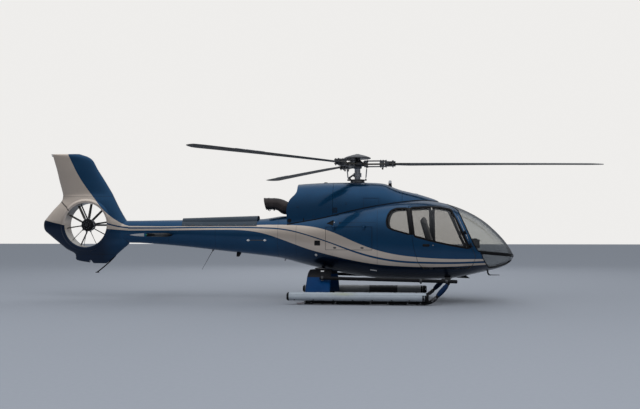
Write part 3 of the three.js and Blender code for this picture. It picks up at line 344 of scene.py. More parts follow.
def turned(profile, sides, axis_from=(0, 0, 0), axis_to=(0, 0, 1)):
    """A turned solid: profile of radius, height points, its axis from one point towards another."""
    bm = bmesh.new()
    verts = [bm.verts.new((r * MM, 0, h * MM)) for r, h in profile]
    edges = [bm.edges.new(pair) for pair in zip(verts, verts[1:])]
    bmesh.ops.spin(bm, geom=verts + edges, cent=(0, 0, 0), axis=(0, 0, 1), angle=tau, steps=sides,
        use_merge=True)
    bmesh.ops.remove_doubles(bm, verts=bm.verts, dist=1e-6)
    closed(bm)
    start = Vector(axis_from) * MM
    turn = (Vector(axis_to) * MM - start).to_track_quat("Z", "Y").to_matrix().to_4x4()
    bmesh.ops.transform(bm, matrix=Matrix.Translation(start) @ turn, verts=bm.verts)
    return to_mesh(bm)


def band(inner, outer, half, sides, middle, ahead):
    """A plain ring about the line from its middle towards a point ahead."""
    corners = [(inner, -half), (outer, -half), (outer, half), (inner, half), (inner, -half)]
    return turned(corners, sides, middle, ahead)


def rod(start, end, radius, sides=24, end_radius=None):
    length = (Vector(end) - Vector(start)).length
    tip = radius if end_radius is None else end_radius
    return turned([(0, 0), (radius, 0), (tip, length), (0, length)], sides, start, end)


def smooth_path(points, steps):
    """Points along a smooth curve through the given points."""
    rows = [tuple(p) for p in points]
    span = len(rows) - 1
    return [Vector(row_at(rows, span * i / (steps * span))) for i in range(steps * span + 1)]


def swept(points, radius, sides=16, steps=8, squash=(1.0, 1.0), radii=None):
    """A round or flattened bar along a smooth path of points in millimetres."""
    path = smooth_path(points, steps) if steps > 1 else [Vector(p) for p in points]
    frames = []
    up = Vector((0, 0, 1))
    for i, point in enumerate(path):
        along = (path[min(i + 1, len(path) - 1)] - path[max(i - 1, 0)]).normalized()
        if abs(along.dot(up)) > 0.98:
            up = Vector((1, 0, 0)) if abs(along.x) < 0.9 else Vector((0, 1, 0))
        side = along.cross(up).normalized()
        up = side.cross(along).normalized()
        frames.append((point, side, up))

    def place(u, v):
        i = round(u * (len(path) - 1))
        point, side, lift = frames[i]
        angle = tau * v
        size = radius if radii is None else radii[i]
        return (point + side * (size * squash[0] * cos(angle)) + lift
            * (size * squash[1] * sin(angle))) * MM
    return lofted(len(path) - 1, sides, place)


def new_object(name, data):
    """A new object in the scene."""
    made = bpy.data.objects.new(name, data)
    bpy.context.scene.collection.objects.link(made)
    return made


def evaluated(piece):
    """Mesh of an object as its modifiers make it."""
    graph = bpy.context.evaluated_depsgraph_get()
    return bpy.data.meshes.new_from_object(piece.evaluated_get(graph), depsgraph=graph)


def combined(mesh, tools, operation):
    """The mesh cut by, kept within or joined to each tool mesh in turn."""
    target = new_object("target", mesh)
    helpers = [new_object("helper", tool) for tool in tools]
    for helper in helpers:
        modifier = target.modifiers.new("Boolean", "BOOLEAN")
        modifier.object, modifier.operation, modifier.solver = helper, operation, "MANIFOLD"
    made = evaluated(target)
    for item in [target, *helpers]:
        bpy.data.objects.remove(item)
    return made


def within(mesh, *tools):
    return combined(mesh, tools, "INTERSECT")


def without(mesh, *tools):
    return combined(mesh, tools, "DIFFERENCE")


def united(*meshes):
    return combined(meshes[0], meshes[1:], "UNION")


def shift(place):
    """Matrix that moves a mesh to a place in millimetres."""
    return Matrix.Translation(Vector(place) * MM)


def rotation(degrees, axis="Z"):
    return Matrix.Rotation(radians(degrees), 4, axis)


def moved(mesh, matrix):
    """A copy of a mesh placed by a matrix, its faces kept pointing outwards."""
    bm = bmesh.new()
    bm.from_mesh(mesh)
    bmesh.ops.transform(bm, matrix=matrix, verts=bm.verts)
    if matrix.determinant() < 0:
        bmesh.ops.reverse_faces(bm, faces=bm.faces[:])
    return to_mesh(bm)


def mirrored(mesh):
    return moved(mesh, Matrix.Scale(-1, 4, (0, 1, 0)))


def joined(*meshes):
    """Meshes put together in one mesh, each still a closed body of its own."""
    bm = bmesh.new()
    for mesh in meshes:
        bm.from_mesh(mesh)
    return to_mesh(bm)


def bevelled(mesh, width, segments=2, angle=0.6):
    """Rounds the edges of a mesh that are sharper than an angle; width in millimetres."""
    bm = bmesh.new()
    bm.from_mesh(mesh)
    bmesh.ops.dissolve_limit(bm, angle_limit=0.01, verts=bm.verts[:], edges=bm.edges[:])
    edges = [e for e in bm.edges if len(e.link_faces) == 2 and e.calc_face_angle(0) > angle]
    bmesh.ops.bevel(bm, geom=edges, offset=width * MM, offset_type="OFFSET", affect="EDGES",
        segments=segments, profile=0.5, material=-1, clamp_overlap=True)
    return to_mesh(bm)


def whole(mesh):
    """One mesh of a mesh or of several."""
    return joined(*mesh) if isinstance(mesh, (list, tuple)) else mesh


# Material slot of a look, where a piece doesn't name another
SLOTS = {
    "metal": "machinery_metal", "burnt": "burnt_steel", "cloth": "seat_cloth", "webbing": "seat_cloth",
    "plain": "blue_paint", "body": "blue_paint", "leg": "blue_paint", "front_leg": "blue_paint",
    "float": "float_fabric", "lining": "gold_paint", "fin": "gold_paint", "shaft_cover": "navy_paint",
    "stabiliser": "navy_paint", "clear_lens": "smoked_glass", "glass": "smoked_glass",
    "screen": "smoked_glass",
}


def add_piece(name, mesh, look, slot=None, replaces=(), body="airframe", crease=35, rule=None):
    """Puts a mesh or several into the scene as one piece, with its look or looks and the body that it rides
    on, and hides the nodes that it stands for. Edges above the crease angle are sharp; a rule gives each face
    its look.
    """
    made = whole(mesh).copy()
    made.name = name
    made.materials.clear()
    looks = (look,) if isinstance(look, str) else look
    for key in looks:
        made.materials.append(LOOK[key])
    made.polygons.foreach_set("material_index", [rule(p) if rule else 0 for p in made.polygons])
    made.shade_smooth()
    made.set_sharp_from_angle(angle=radians(crease))
    piece = new_object(name, made)
    slot = slot or SLOTS.get(looks[0], "dark_metal")
    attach(piece, body)
    if replaces:
        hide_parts(*replaces)
    return piece


def tree_of(mesh):
    bm = bmesh.new()
    bm.from_mesh(mesh)
    tree = BVHTree.FromBMesh(bm)
    bm.free()
    return tree


def outer_rule(trees, near=2.0):
    """Material 0 for faces that lie on one of the outer skins, 1 for all others."""
    def rule(polygon):
        for tree in trees:
            found = tree.find_nearest(polygon.center, near * MM)
            if found[0] is not None and abs(found[1].dot(polygon.normal)) > 0.5:
                return 0
        return 1
    return rule


# Shader maths

def height_at(table, x):
    """Height of a table at x, on a smooth curve that doesn't overshoot its points."""
    rises = [(q[1] - p[1]) / (q[0] - p[0]) for p, q in zip(table, table[1:])]
    i = max([k for k, p in enumerate(table[:-1]) if p[0] <= x] or [0])
    slopes = []
    for k in (i, i + 1):
        before, after = rises[max(k - 1, 0)], rises[min(k, len(rises) - 1)]
        slopes.append(2 * before * after / (before + after) if before * after > 0 else 0.0)
    (x0, z0), (x1, z1) = table[i], table[i + 1]
    wide = x1 - x0
    t = (x - x0) / wide
    bend = 3 * (z1 - z0) - (2 * slopes[0] + slopes[1]) * wide
    twist = (slopes[0] + slopes[1]) * wide - 2 * (z1 - z0)
    return z0 + t * (slopes[0] * wide + t * (bend + t * twist))


class Wire:
    """An output in a material's node tree, so that maths on it reads as Python."""

    def __init__(self, paint, socket):
        self.paint, self.socket = paint, socket

    def __add__(self, other):
        return self.paint.maths("ADD", self, other)

    def __sub__(self, other):
        return self.paint.maths("SUBTRACT", self, other)

    def __rsub__(self, other):
        return self.paint.maths("SUBTRACT", other, self)

    def __mul__(self, other):
        return self.paint.maths("MULTIPLY", self, other)

    def __truediv__(self, other):
        return self.paint.maths("DIVIDE", self, other)

    __radd__, __rmul__ = __add__, __mul__


class Paint:
    """A material that is being wired up."""

    def __init__(self, name, **constants):
        self.material = bpy.data.materials.new(name)
        self.material.use_nodes = True
        self.tree = self.material.node_tree
        self.shader = self.tree.nodes["Principled BSDF"]
        for socket, value in constants.items():
            self.shader.inputs[socket.replace("_", " ")].default_value = value

    def node(self, kind, settings=(), inputs=(), output=0):
        """A node of a type with its settings made first, then its inputs; gives one output."""
        made = self.tree.nodes.new(kind)
        for key, value in dict(settings).items():
            setattr(made, key, value)
        for key, value in dict(inputs).items():
            if isinstance(value, Wire):
                self.tree.links.new(value.socket, made.inputs[key])
            else:
                made.inputs[key].default_value = value
        return Wire(self, made.outputs[output])

    def maths(self, operation, *values):
        return self.node("ShaderNodeMath", {"operation": operation}, dict(enumerate(values)))

    def place(self):
        """x, y and z of the surface, in metres."""
        spot = self.node("ShaderNodeTexCoord", output="Object")
        return [self.node("ShaderNodeSeparateXYZ", (), {0: spot}, k) for k in range(3)]

    def noise(self, scale, detail=3.0, roughness=0.5, stretch=None):
        spot = self.node("ShaderNodeTexCoord", output="Object")
        if stretch:
            spot = self.node("ShaderNodeMapping", (), {0: spot, 3: stretch})
        values = {"Vector": spot, "Scale": scale, "Detail": detail, "Roughness": roughness}
        return self.node("ShaderNodeTexNoise", (), values)

    def step(self, value, edge, softness=0.002):
        """0 below the edge, 1 above it."""
        made = (value - edge) / softness + 0.5
        made.socket.node.use_clamp = True
        return made

    def curve(self, value, table):
        """Smooth height of a table of two columns, as a ramp of even steps along the first."""
        low, high = table[0][0], table[-1][0]
        heights = [height_at(table, low + (high - low) * k / 31) for k in range(32)]
        base, span = min(heights), max(heights) - min(heights)
        ramp = self.tree.nodes.new("ShaderNodeValToRGB")
        ramp.color_ramp.interpolation = "B_SPLINE"
        stops = ramp.color_ramp.elements
        for k in range(1, 31):
            stops.new(k / 31)
        for stop, height in zip(stops, heights):
            stop.color = ((height - base) / span,) * 3 + (1,)
        share = (value - low) / (high - low)
        self.tree.links.new(share.socket, ramp.inputs[0])
        return Wire(self, ramp.outputs[0]) * span + base

    def seam(self, along, across, start, end, spot, half=0.0025):
        """1 on a thin line at across = spot between two places along it."""
        near = self.maths("ABSOLUTE", across - spot)
        return (1 - self.step(near, half, 0.002)) * self.step(along, start) * (1 - self.step(along, end))

    def rivets(self, along, across, start, end, spot, pitch=0.045, radius=0.004):
        """1 on the heads of a row of rivets beside a seam."""
        place = self.maths("PINGPONG", along, pitch / 2) - pitch / 4
        reach = self.maths("SQRT", place * place + (across - spot) * (across - spot))
        return (1 - self.step(reach, radius, 0.002)) * self.step(along, start) * (1 - self.step(along, end))

    def between(self, value, low, high, *softness):
        """1 between two edges, 0 outside them."""
        return self.step(value, low, *softness) * (1 - self.step(value, high, *softness))

    def mix(self, mask, *colours):
        """First colour where the mask is 0, second where it is 1."""
        first, second = (c if isinstance(c, Wire) else (*c, 1.0) for c in colours)
        return self.node("ShaderNodeMix", {"data_type": "RGBA"}, {0: mask, 6: first, 7: second}, 2)

    def bump(self, height, strength=0.3, distance=0.001):
        return self.node("ShaderNodeBump", (),
            {"Height": height, "Strength": strength, "Distance": distance})

    def feed(self, **links):
        for socket, wire in links.items():
            self.tree.links.new(wire.socket, self.shader.inputs[socket.replace("_", " ")])
        return self.material


def blue_coat(paint, colours, cloud):
    """The blue's own variation: slow clouds and metal flakes."""
    return paint.mix(cloud * 0.7 + paint.noise(900.0, 2.0) * 0.2, colours.blue, colours.blue_light)


def body_paint(colours, plain=False):
    """Metallic blue, darkened below the gold band as painted shade, with the gold band along the sides, its
    thin dark line, panel seams and rivets.
    """
    paint = Paint("fairing_paint" if plain else "body_paint", Coat_Weight=0.48, Coat_Roughness=0.05,
        Metallic=0.85, Roughness=0.36, Specular_IOR_Level=0.3)
    x, y, z = paint.place()
    cloud = paint.noise(2.2, 3.0)
    blue = blue_coat(paint, colours, cloud)
    # painted shade: below the gold band, ahead of the boom, the blue turns to the darker shade blue
    shaded = paint.step(x, -0.2, 1.4) * (1 - paint.step(z, paint.curve(x, BAND_LOW)))
    base = paint.mix(shaded, blue, colours.painted_shade_blue)
    relief = paint.noise(3.0, 2.0) * 0.3
    if not plain:
        line = paint.curve(x, BAND_LINE)
        half = paint.step(x, -0.8, 1.2) * -0.004 + paint.step(x, 0.8, 0.7) * 0.008 + 0.017
        dark = paint.between(z, line - half, line + half)
        gold = paint.mix(cloud, colours.gold, colours.gold_light)
        banded = paint.between(z, paint.curve(x, BAND_LOW), paint.curve(x, BAND_TOP))
        base = paint.mix(banded * (1 - dark), base, gold)
        pillar = paint.between(x, 2.288 - z * 0.1165, 2.432 - z * 0.126) * (1 - paint.step(y, 0.0))
        far = paint.between(x, 2.575, 2.715) * paint.step(y, 0.0)
        pillar = (pillar + far) * paint.between(z, 1.45, 2.028)
        slope = x * 0.0917 + z
        strip = paint.between(slope, 1.378, 1.436) * paint.step(x, 3.6)
        base = paint.mix(pillar + strip, base, (0.004, 0.004, 0.005))
        seams = [paint.seam(z, x, z0, z1, spot) for spot, z0, z1 in UPRIGHT_SEAMS]
        seams += [paint.seam(x, z, x0, x1, spot) for spot, x0, x1 in LEVEL_SEAMS]
        heads = [paint.rivets(z, x, z0, z1, spot + 0.022) for spot, z0, z1 in UPRIGHT_SEAMS]
        cut, rivet = sum(seams[1:], seams[0]), sum(heads[1:], heads[0])
        base = paint.mix(cut * 0.75, base, (0.002, 0.002, 0.003))
        relief = relief - cut + rivet * 0.35
    soot = (1 - paint.step(x, -0.6, 0.3)) * paint.step(x, -2.2, 1.6) * paint.step(z, 1.86, 0.34)
    base = paint.mix(soot * paint.noise(5.0, 6.0, 0.65) * 0.5, base, (0.012, 0.010, 0.009))
    grime = (1 - paint.step(z, 0.75, 0.5)) * paint.noise(6.0, 6.0, 0.7) * 0.35
    base = paint.mix(grime, base, (0.022, 0.020, 0.018))
    rough = paint.noise(14.0, 6.0, 0.6) * 0.12 + grime * 0.5 + 0.24
    return paint.feed(Base_Color=base, Roughness=rough, Normal=paint.bump(relief, 0.25, 0.001))


# Boundary of gold and blue on the fin, lower edge of the gold with painted shade below it further back, thin
# line ahead of the duct: x, z
FIN_SPLIT = [
    (-6.3, 4.35), (-5.85, 3.54), (-5.719, 3.285), (-5.449, 2.79), (-5.158, 2.40), (-5.014, 2.235),
    (-4.846, 2.05), (-4.678, 1.885), (-4.488, 1.755), (-4.322, 1.674), (-4.2, 1.655),
]
FIN_LOW = [
    (-6.4, 1.82), (-6.205, 1.775), (-6.05, 1.735), (-5.868, 1.70), (-5.795, 1.68), (-5.0, 1.62),
    (-4.7, 1.585), (-4.2, 1.548),
]
FIN_LINE = [(-5.6, 1.72), (-4.8, 1.72), (-4.6, 1.67), (-4.4, 1.63), (-4.2, 1.612)]


def fin_paint(colours):
    """Gold rear part of the fin, blue front part, and a lower end whose blue darkens rearwards as painted
    shade, with the panel joints.
    """
    paint = Paint("fin_paint", Coat_Weight=0.48, Coat_Roughness=0.05, Metallic=0.85, Roughness=0.36,
        Specular_IOR_Level=0.3)
    x, _, z = paint.place()
    cloud = paint.noise(2.2, 3.0)
    blue = blue_coat(paint, colours, cloud)
    gold = paint.mix(cloud, colours.gold, colours.gold_light)
    ahead = paint.step(z, paint.curve(x, FIN_SPLIT))
    below = 1 - paint.step(z, paint.curve(x, FIN_LOW))
    line = paint.curve(x, FIN_LINE)
    dark = paint.between(z, line - 0.017, line + 0.017) * paint.step(x, -4.8)
    base = paint.mix(ahead, gold, blue)
    base = paint.mix(dark, base, colours.blue)
    # painted shade: the fin's lower end goes from the blue at the boom to the darker shade blue further back
    shaded = paint.mix(paint.step(x, -4.62, 0.5), colours.painted_shade_blue, blue)
    base = paint.mix(below, base, shaded)
    # joint between the fin and the shroud, then the shroud's slanting joint behind the duct
    slant = paint.maths("ABSOLUTE", (x + 5.85) * 0.642 + (z - 2.185) * 0.767)
    joint = (1 - paint.step(slant, 0.015)) * paint.between(x, -5.90, -5.64) * paint.step(z, 2.0)
    seams = [paint.seam(x, z, -5.95, -4.6, 2.335), paint.seam(x, z, -5.6, -4.5, 1.005), joint]
    heads = paint.rivets(x, z, -5.9, -4.65, 2.357)
    cut = sum(seams[1:], seams[0])
    base = paint.mix(cut * 0.8, base, (0.004, 0.004, 0.005))
    return paint.feed(Base_Color=base, Roughness=paint.noise(14.0, 6.0, 0.6) * 0.12 + 0.24,
        Normal=paint.bump(paint.noise(3.0, 2.0) * 0.3 - cut + heads * 0.35, 0.25, 0.001))


def stabiliser_paint(colours):
    """Blue, with the rear half of the tips pale as a painted highlight and the front part near black as
    painted shade.
    """
    paint = Paint("stabiliser_paint", Metallic=0.3, Roughness=0.5, Specular_IOR_Level=0.2)
    x, y, _ = paint.place()
    cloud = paint.noise(3.0, 4.0)
    # painted highlight: the rear half of each tip is drawn pale grey
    tip = paint.step(paint.maths("ABSOLUTE", y), 1.28, 0.004) * (1 - paint.step(x, -3.47))
    base = paint.mix(tip, blue_coat(paint, colours, cloud), (0.30, 0.31, 0.33))
    # painted shade: the front part of the stabiliser is drawn near black
    base = paint.mix(paint.step(x, -3.42), base, (0.004, 0.004, 0.005))
    seam = paint.seam(paint.maths("ABSOLUTE", y), x, 0.1, 1.3, -3.66)
    return paint.feed(Base_Color=paint.mix(seam * 0.8, base, (0.003, 0.003, 0.004)), Roughness=cloud * 0.15
        + 0.48, Normal=paint.bump(cloud * 0.3 - seam, 0.25, 0.001))


def simple_paint(name, first, second, scale=6.0, relief=0.0, relief_scale=200.0, worn=0.1, gloss=0.5,
        metal=0.0, specular=0.5, more=()):
    """One finish with its own variation in colour, gloss (as roughness) and, where it is rough, relief."""
    paint = Paint(name, Roughness=gloss, Metallic=metal, Specular_IOR_Level=specular, **dict(more))
    base = paint.mix(paint.noise(scale, 5.0, 0.6), first, second)
    links = {"Base_Color": base, "Roughness": paint.noise(scale * 3, 4.0) * (2 * worn) + (gloss - worn)}
    if relief:
        links["Normal"] = paint.bump(paint.noise(relief_scale, 3.0), relief, 0.0006)
    return paint.feed(**links)


def woven(name, first, second, scale, relief):
    """Cloth: threads in two directions, with slight wear."""
    paint = Paint(name, Roughness=0.85, Sheen_Weight=0.3)
    x, y, z = paint.place()
    threads = [paint.maths("SINE", axis * (scale * tau)) for axis in (x, y, z)]
    weave = threads[0] * threads[1] + threads[1] * threads[2] + threads[2] * threads[0]
    cloud = paint.noise(9.0, 4.0, 0.6)
    base = paint.mix(cloud * 0.7 + weave * 0.12 + 0.15, first, second)
    return paint.feed(Base_Color=base, Roughness=cloud * 0.15 + 0.76,
        Normal=paint.bump(weave, relief, 0.0005))


def float_cloth():
    """Coated cover cloth: pale on the near side, and on the far one painted shade in grey and black lengths;
    dirtier below.
    """
    paint = Paint("float_cover", Roughness=0.6)
    x, y, z = paint.place()
    cloud = paint.noise(3.0, 5.0, 0.65)
    pale = paint.mix(cloud, (0.25, 0.285, 0.325), (0.36, 0.395, 0.43))
    stain = paint.between(x, 0.55, 0.95, 0.3) * paint.step(z, 0.20, 0.05)
    pale = paint.mix(stain * paint.noise(12.0, 4.0) * 0.8, pale, (0.30, 0.31, 0.17))
    # painted shade: the far float is the same cloth, drawn grey with a black length
    grey = paint.mix(cloud, (0.22, 0.225, 0.23), (0.30, 0.305, 0.31))
    black = paint.between(x, 1.172, 1.834)
    far = paint.mix(black, grey, (0.02, 0.02, 0.022))
    base = paint.mix(paint.step(y, 0.0), pale, far)
    dirt = (0.16 - z) * 5.0 * paint.noise(7.0, 6.0, 0.7)
    dirt.socket.node.use_clamp = True
    base = paint.mix(dirt, base, (0.14, 0.13, 0.12))
    threads = [paint.maths("SINE", axis * (320.0 * tau)) for axis in (x, z)]
    relief = threads[0] * threads[1] * 0.4 + paint.noise(30.0, 4.0, 0.6) * 4.0
    return paint.feed(Base_Color=base, Roughness=cloud * 0.2 + 0.5, Normal=paint.bump(relief, 0.35, 0.0006))


def lining_paint(colours):
    """The duct's inner ring: gold above, paler below, and dark brown at the upper rear as painted shade."""
    paint = Paint("duct_lining", Coat_Weight=0.5, Metallic=0.35, Roughness=0.4)
    x, _, z = paint.place()
    cloud = paint.noise(5.0, 5.0, 0.6)
    gold = paint.mix(cloud, colours.gold, colours.gold_light)
    # painted shade: the dark brown that the upper rear of the lining is drawn in
    burnt = paint.mix(cloud, (0.10, 0.086, 0.072), (0.16, 0.14, 0.12))
    base = paint.mix(paint.step(z, 1.60, 0.3), (0.42, 0.385, 0.34), gold)
    # painted shade: the upper rear of the lining drawn dark brown
    base = paint.mix(paint.step(z, 1.86, 0.2) * (1 - paint.step(x, -5.2, 0.3)), base, burnt)
    return paint.feed(Base_Color=base, Roughness=cloud * 0.2 + 0.3)


def leg_paint():
    """Rear legs: blue below, satin black above."""
    paint = Paint("leg_paint", Metallic=0.25, Roughness=0.45, Specular_IOR_Level=0.12)
    _, _, z = paint.place()
    cloud = paint.noise(4.0, 4.0)
    blue = paint.mix(cloud, (0.0005, 0.018, 0.070), (0.001, 0.040, 0.135))
    upper = paint.step(z, 0.55, 0.004)
    base = paint.mix(upper, blue, (0.012, 0.012, 0.014))
    dirt = (0.30 - z) * 3.0 * paint.noise(9.0, 6.0, 0.7)
    dirt.socket.node.use_clamp = True
    return paint.feed(Base_Color=paint.mix(dirt, base, (0.10, 0.095, 0.09)), Roughness=cloud * 0.2 + 0.32)


def smoked_glass(name, tint, sheen=0.08):
    """Tinted acrylic: see-through face on, more of a mirror at a grazing angle."""
    paint = Paint(name, Base_Color=(0.55, 0.57, 0.6, 1), Roughness=0.03, Metallic=1.0)
    clear = paint.node("ShaderNodeBsdfTransparent", (), {0: tint})
    facing = paint.node("ShaderNodeLayerWeight", (), {"Blend": 0.5}, 1)
    share = paint.maths("POWER", facing, 4.0) * 0.8 + sheen
    both = paint.node("ShaderNodeMixShader", (), {0: share})
    paint.tree.links.new(clear.socket, both.socket.node.inputs[1])
    paint.tree.links.new(paint.shader.outputs[0], both.socket.node.inputs[2])
    paint.tree.links.new(both.socket, paint.tree.nodes["Material Output"].inputs[0])
    return paint.material


# Looks and shapes that several pieces share; filled when the first piece needs them
LOOK = {}
FORM = {}


# Simple finishes: name, two colours, scale, relief, its scale, wear, and the shader's constants
FINISHES = {
    "rubber": (
        "black_rubber", (0.003, 0.003, 0.0035), (0.008, 0.008, 0.009), 20, 0.25, 700, 0.1, 0.55, 0, 0.1),
    "trim": ("cabin_trim", (0.045, 0.045, 0.049), (0.065, 0.065, 0.07), 5, 0.2, 900, 0.1, 0.75),
    "black": ("satin_black", (0.004, 0.004, 0.005), (0.012, 0.012, 0.014), 8, 0.08, 300, 0.1, 0.52, 0, 0.1),
    "grey": ("head_grey", (0.05, 0.05, 0.055), (0.10, 0.10, 0.105), 12, 0.12, 400, 0.1, 0.4, 0.7),
    "metal": ("machined_metal", (0.30, 0.30, 0.31), (0.42, 0.42, 0.43), 12, 0.08, 500, 0.1, 0.32, 1.0),
    "blade": ("blade_grey", (0.040, 0.038, 0.036), (0.070, 0.067, 0.062), 3, 0.05, 300, 0.1, 0.5, 0, 0.3),
    "burnt": ("burnt_steel", (0.020, 0.019, 0.021), (0.085, 0.070, 0.066), 5, 0.1, 150, 0.1, 0.45, 0.85),
    "shaft_cover": (
        "shaft_cover_paint", (0.014, 0.026, 0.042), (0.024, 0.042, 0.062), 4, 0.05, 300, 0.1, 0.45, 0.3, 0.5,
        {"Coat_Weight": 0.3}),
    "spring": ("spring_paint", (0.16, 0.02, 0.015), (0.26, 0.05, 0.03), 14, 0.1, 300, 0.1, 0.6),
    "composite": ("star_composite", (0.035, 0.032, 0.028), (0.07, 0.062, 0.05), 9, 0.15, 250, 0.1, 0.5),
    "cap": ("cap_paint", (0.055, 0.055, 0.06), (0.11, 0.11, 0.115), 7, 0.05, 300, 0.1, 0.35, 0.4),
    "edge": ("worn_edge", (0.10, 0.10, 0.105), (0.22, 0.22, 0.225), 16, 0.12, 300, 0.1, 0.35, 0.8),
    "front_leg": (
        "front_leg_paint", (0.0008, 0.007, 0.028), (0.002, 0.016, 0.055), 6, 0.05, 300, 0.1, 0.5, 0, 0.12),
    "grip": ("grip_tape", (0.010, 0.010, 0.011), (0.03, 0.03, 0.03), 80, 1, 2500, 0.1, 0.9),
    "plate": ("pale_plate", (0.45, 0.46, 0.47), (0.6, 0.6, 0.61), 10, 0.05, 200, 0.1, 0.4),
    "shell": ("seat_shell", (0.03, 0.031, 0.034), (0.055, 0.056, 0.06), 8, 0.25, 1100, 0.1, 0.6),
    "leather": ("hood_cover", (0.012, 0.012, 0.013), (0.02, 0.02, 0.022), 12, 0.5, 600, 0.1, 0.7),
    "display": ("display", (0.004, 0.005, 0.008), (0.012, 0.016, 0.024), 9, 0, 1, 0.02, 0.08),
    "carpet": ("floor_carpet", (0.03, 0.031, 0.035), (0.055, 0.056, 0.06), 60, 0.8, 1500, 0.1, 0.95),
}
LENSES = {"red_lens": (0.5, 0.01, 0.008), "green_lens": (0.01, 0.32, 0.08), "clear_lens": (0.8, 0.82, 0.85)}


def make_looks(colours):
    for key, finish in FINISHES.items():
        LOOK[key] = simple_paint(*finish)
    for key, colour in LENSES.items():
        LOOK[key] = simple_paint(key, colour, [0.85 * c for c in colour], 20, 0.05, 300, 0.03, 0.1, 0, 0.5,
            {"Transmission_Weight": 0.5})
    LOOK.update(body=body_paint(colours), plain=body_paint(colours, plain=True), fin=fin_paint(colours),
        lining=lining_paint(colours), stabiliser=stabiliser_paint(colours), leg=leg_paint(),
        float=float_cloth(), glass=smoked_glass("smoked_glass", (0.76, 0.755, 0.745, 1), 0.04),
        screen=smoked_glass("screen_glass", (0.80, 0.805, 0.80, 1), 0.05),
        cloth=woven("seat_cloth", (0.17, 0.165, 0.16), (0.28, 0.27, 0.26), 420.0, 0.6),
        webbing=woven("webbing", (0.012, 0.012, 0.014), (0.03, 0.03, 0.034), 260.0, 0.7))


def form(name, make):
    """A shape that is made once and used for several pieces."""
    if name not in FORM:
        FORM[name] = make()
    return FORM[name]


def hull(inset=0.0):
    """The body's outer skin, or the same skin moved inwards by an inset in millimetres."""
    skin = form("hull", lambda: body_mesh(HULL, 0, nose=True))
    return form(f"hull{inset}", lambda: sunk(skin, inset)) if inset else skin


def reshaped(mesh, places):
    """The mesh with its points moved to new places."""
    made = mesh.copy()
    made.vertices.foreach_set("co", [value for place in places for value in place])
    return made


def sunk(mesh, inset):
    """The mesh with every point moved inwards along its normal."""
    return reshaped(mesh, [v.co - n.vector * (inset * MM)
        for v, n in zip(mesh.vertices, mesh.vertex_normals)])


def cabin_zone():
    return block(CABIN_REAR + TOUCH, AHEAD, -FAR, FAR, 0, ABOVE)


def cabin_shell():
    return form("shell", lambda: within(without(hull(), hull(WALL)), cabin_zone()))


def skin_shell(outer, inner):
    """Thin shell between two depths below the skin."""
    return form(f"shell{outer}_{inner}", lambda: without(hull(outer), hull(inner)))


def side_range(side):
    return (-FAR, 0) if side < 0 else (0, FAR)


def hull_tree():
    return form("hull_tree", lambda: tree_of(hull()))


def seen(tree, x, z, side):
    """Point of a skin in metres at a side-view place in millimetres, and the skin's normal there."""
    found = tree.ray_cast(Vector((x * MM, side * 3, z * MM)), Vector((0, -side, 0)))
    return found[0], found[1]


def on_skin(x, z, side):
    """Point on the body's side in millimetres at a side-view place, and the skin's normal there."""
    point, normal = seen(hull_tree(), x, z, side)
    return point / MM, normal


def laid_on(point, normal):
    """Matrix that lays a shape drawn flat in x and y on a skin at a point in metres, its z axis outwards."""
    ahead = (Vector((1, 0, 0)) - normal * normal.x).normalized()
    return Matrix.Translation(point) @ Matrix((ahead, normal.cross(ahead), normal)).transposed().to_4x4()


# Each side's word, sign of y and body of its front door
SIDES = (("right", -1, "right_door"), ("left", 1, "left_door"))

# Distance of the front seats and the stick from the middle, in millimetres
SEAT_Y = 430


def disc(x, y, z0, z1, radius, sides=32):
    return turned([(0, 0), (radius, 0), (radius, z1 - z0), (0, z1 - z0)], sides, (x, y, z0), (x, y, z1))


def studs(spots, radius, height, sides=6):
    """Bolt heads; each spot is a place in millimetres and the direction that the head faces."""
    bm = bmesh.new()
    for place, facing in spots:
        facing = Vector(facing).normalized()
        middle = Matrix.Translation((Vector(place) + facing * (height / 2)) * MM)
        turn = facing.to_track_quat("Z", "Y").to_matrix().to_4x4()
        bmesh.ops.create_cone(bm, cap_ends=True, segments=sides, radius1=radius * MM, radius2=radius * 0.88
            * MM, depth=height * MM, matrix=middle @ turn)
    return to_mesh(bm)


def ring_of(count, radius, z, phase=0.0, up=1):
    """Spots on a circle about the origin that face up or down."""
    turns = [phase + tau * k / count for k in range(count)]
    return [((radius * cos(a), radius * sin(a), z), (0, 0, up)) for a in turns]


def on_side(x, z, side):
    """Matrix that lays a shape on the body's side at a side-view place in millimetres."""
    return laid_on(*seen(hull_tree(), x, z, side))


def on_cowl(x, z, side):
    return laid_on(*seen(form("cowl_tree", lambda: tree_of(body_mesh(COWL))), x, z, side))


def boom_tree():
    return form("boom_tree", lambda: tree_of(body_mesh(TAIL_BOOM)))


def on_boom(x, z, side):
    return laid_on(*seen(boom_tree(), x, z, side))


def oval(width, height, sides=32):
    turns = [tau * k / sides for k in range(sides)]
    return [(width / 2 * cos(a), height / 2 * sin(a)) for a in turns]


def hinges(side):
    """Middles of a front door's two hinges, in millimetres."""
    return [Vector((x, side * y, z)) for x, y, z in (HINGE_LOW, HINGE_HIGH)]


def door_swing(side, rear_edge, grow):
    """Room in which a front door swings about its hinge, as wide as the outer corner of its rear edge."""
    low, high = hinges(side)
    along = (high - low).normalized()
    profile = []
    for x, z in rear_edge:
        corner = on_skin(x, z, side)[0] - low
        height = corner.dot(along)
        profile.append(((corner - along * height).length + grow, height))
    (first, bottom), (last, top) = profile[0], profile[-1]
    ends = [(0, bottom - 600), (first, bottom - 600)]
    return turned([*ends, *profile, (last, top + 300), (0, top + 300)], 256, low, high)


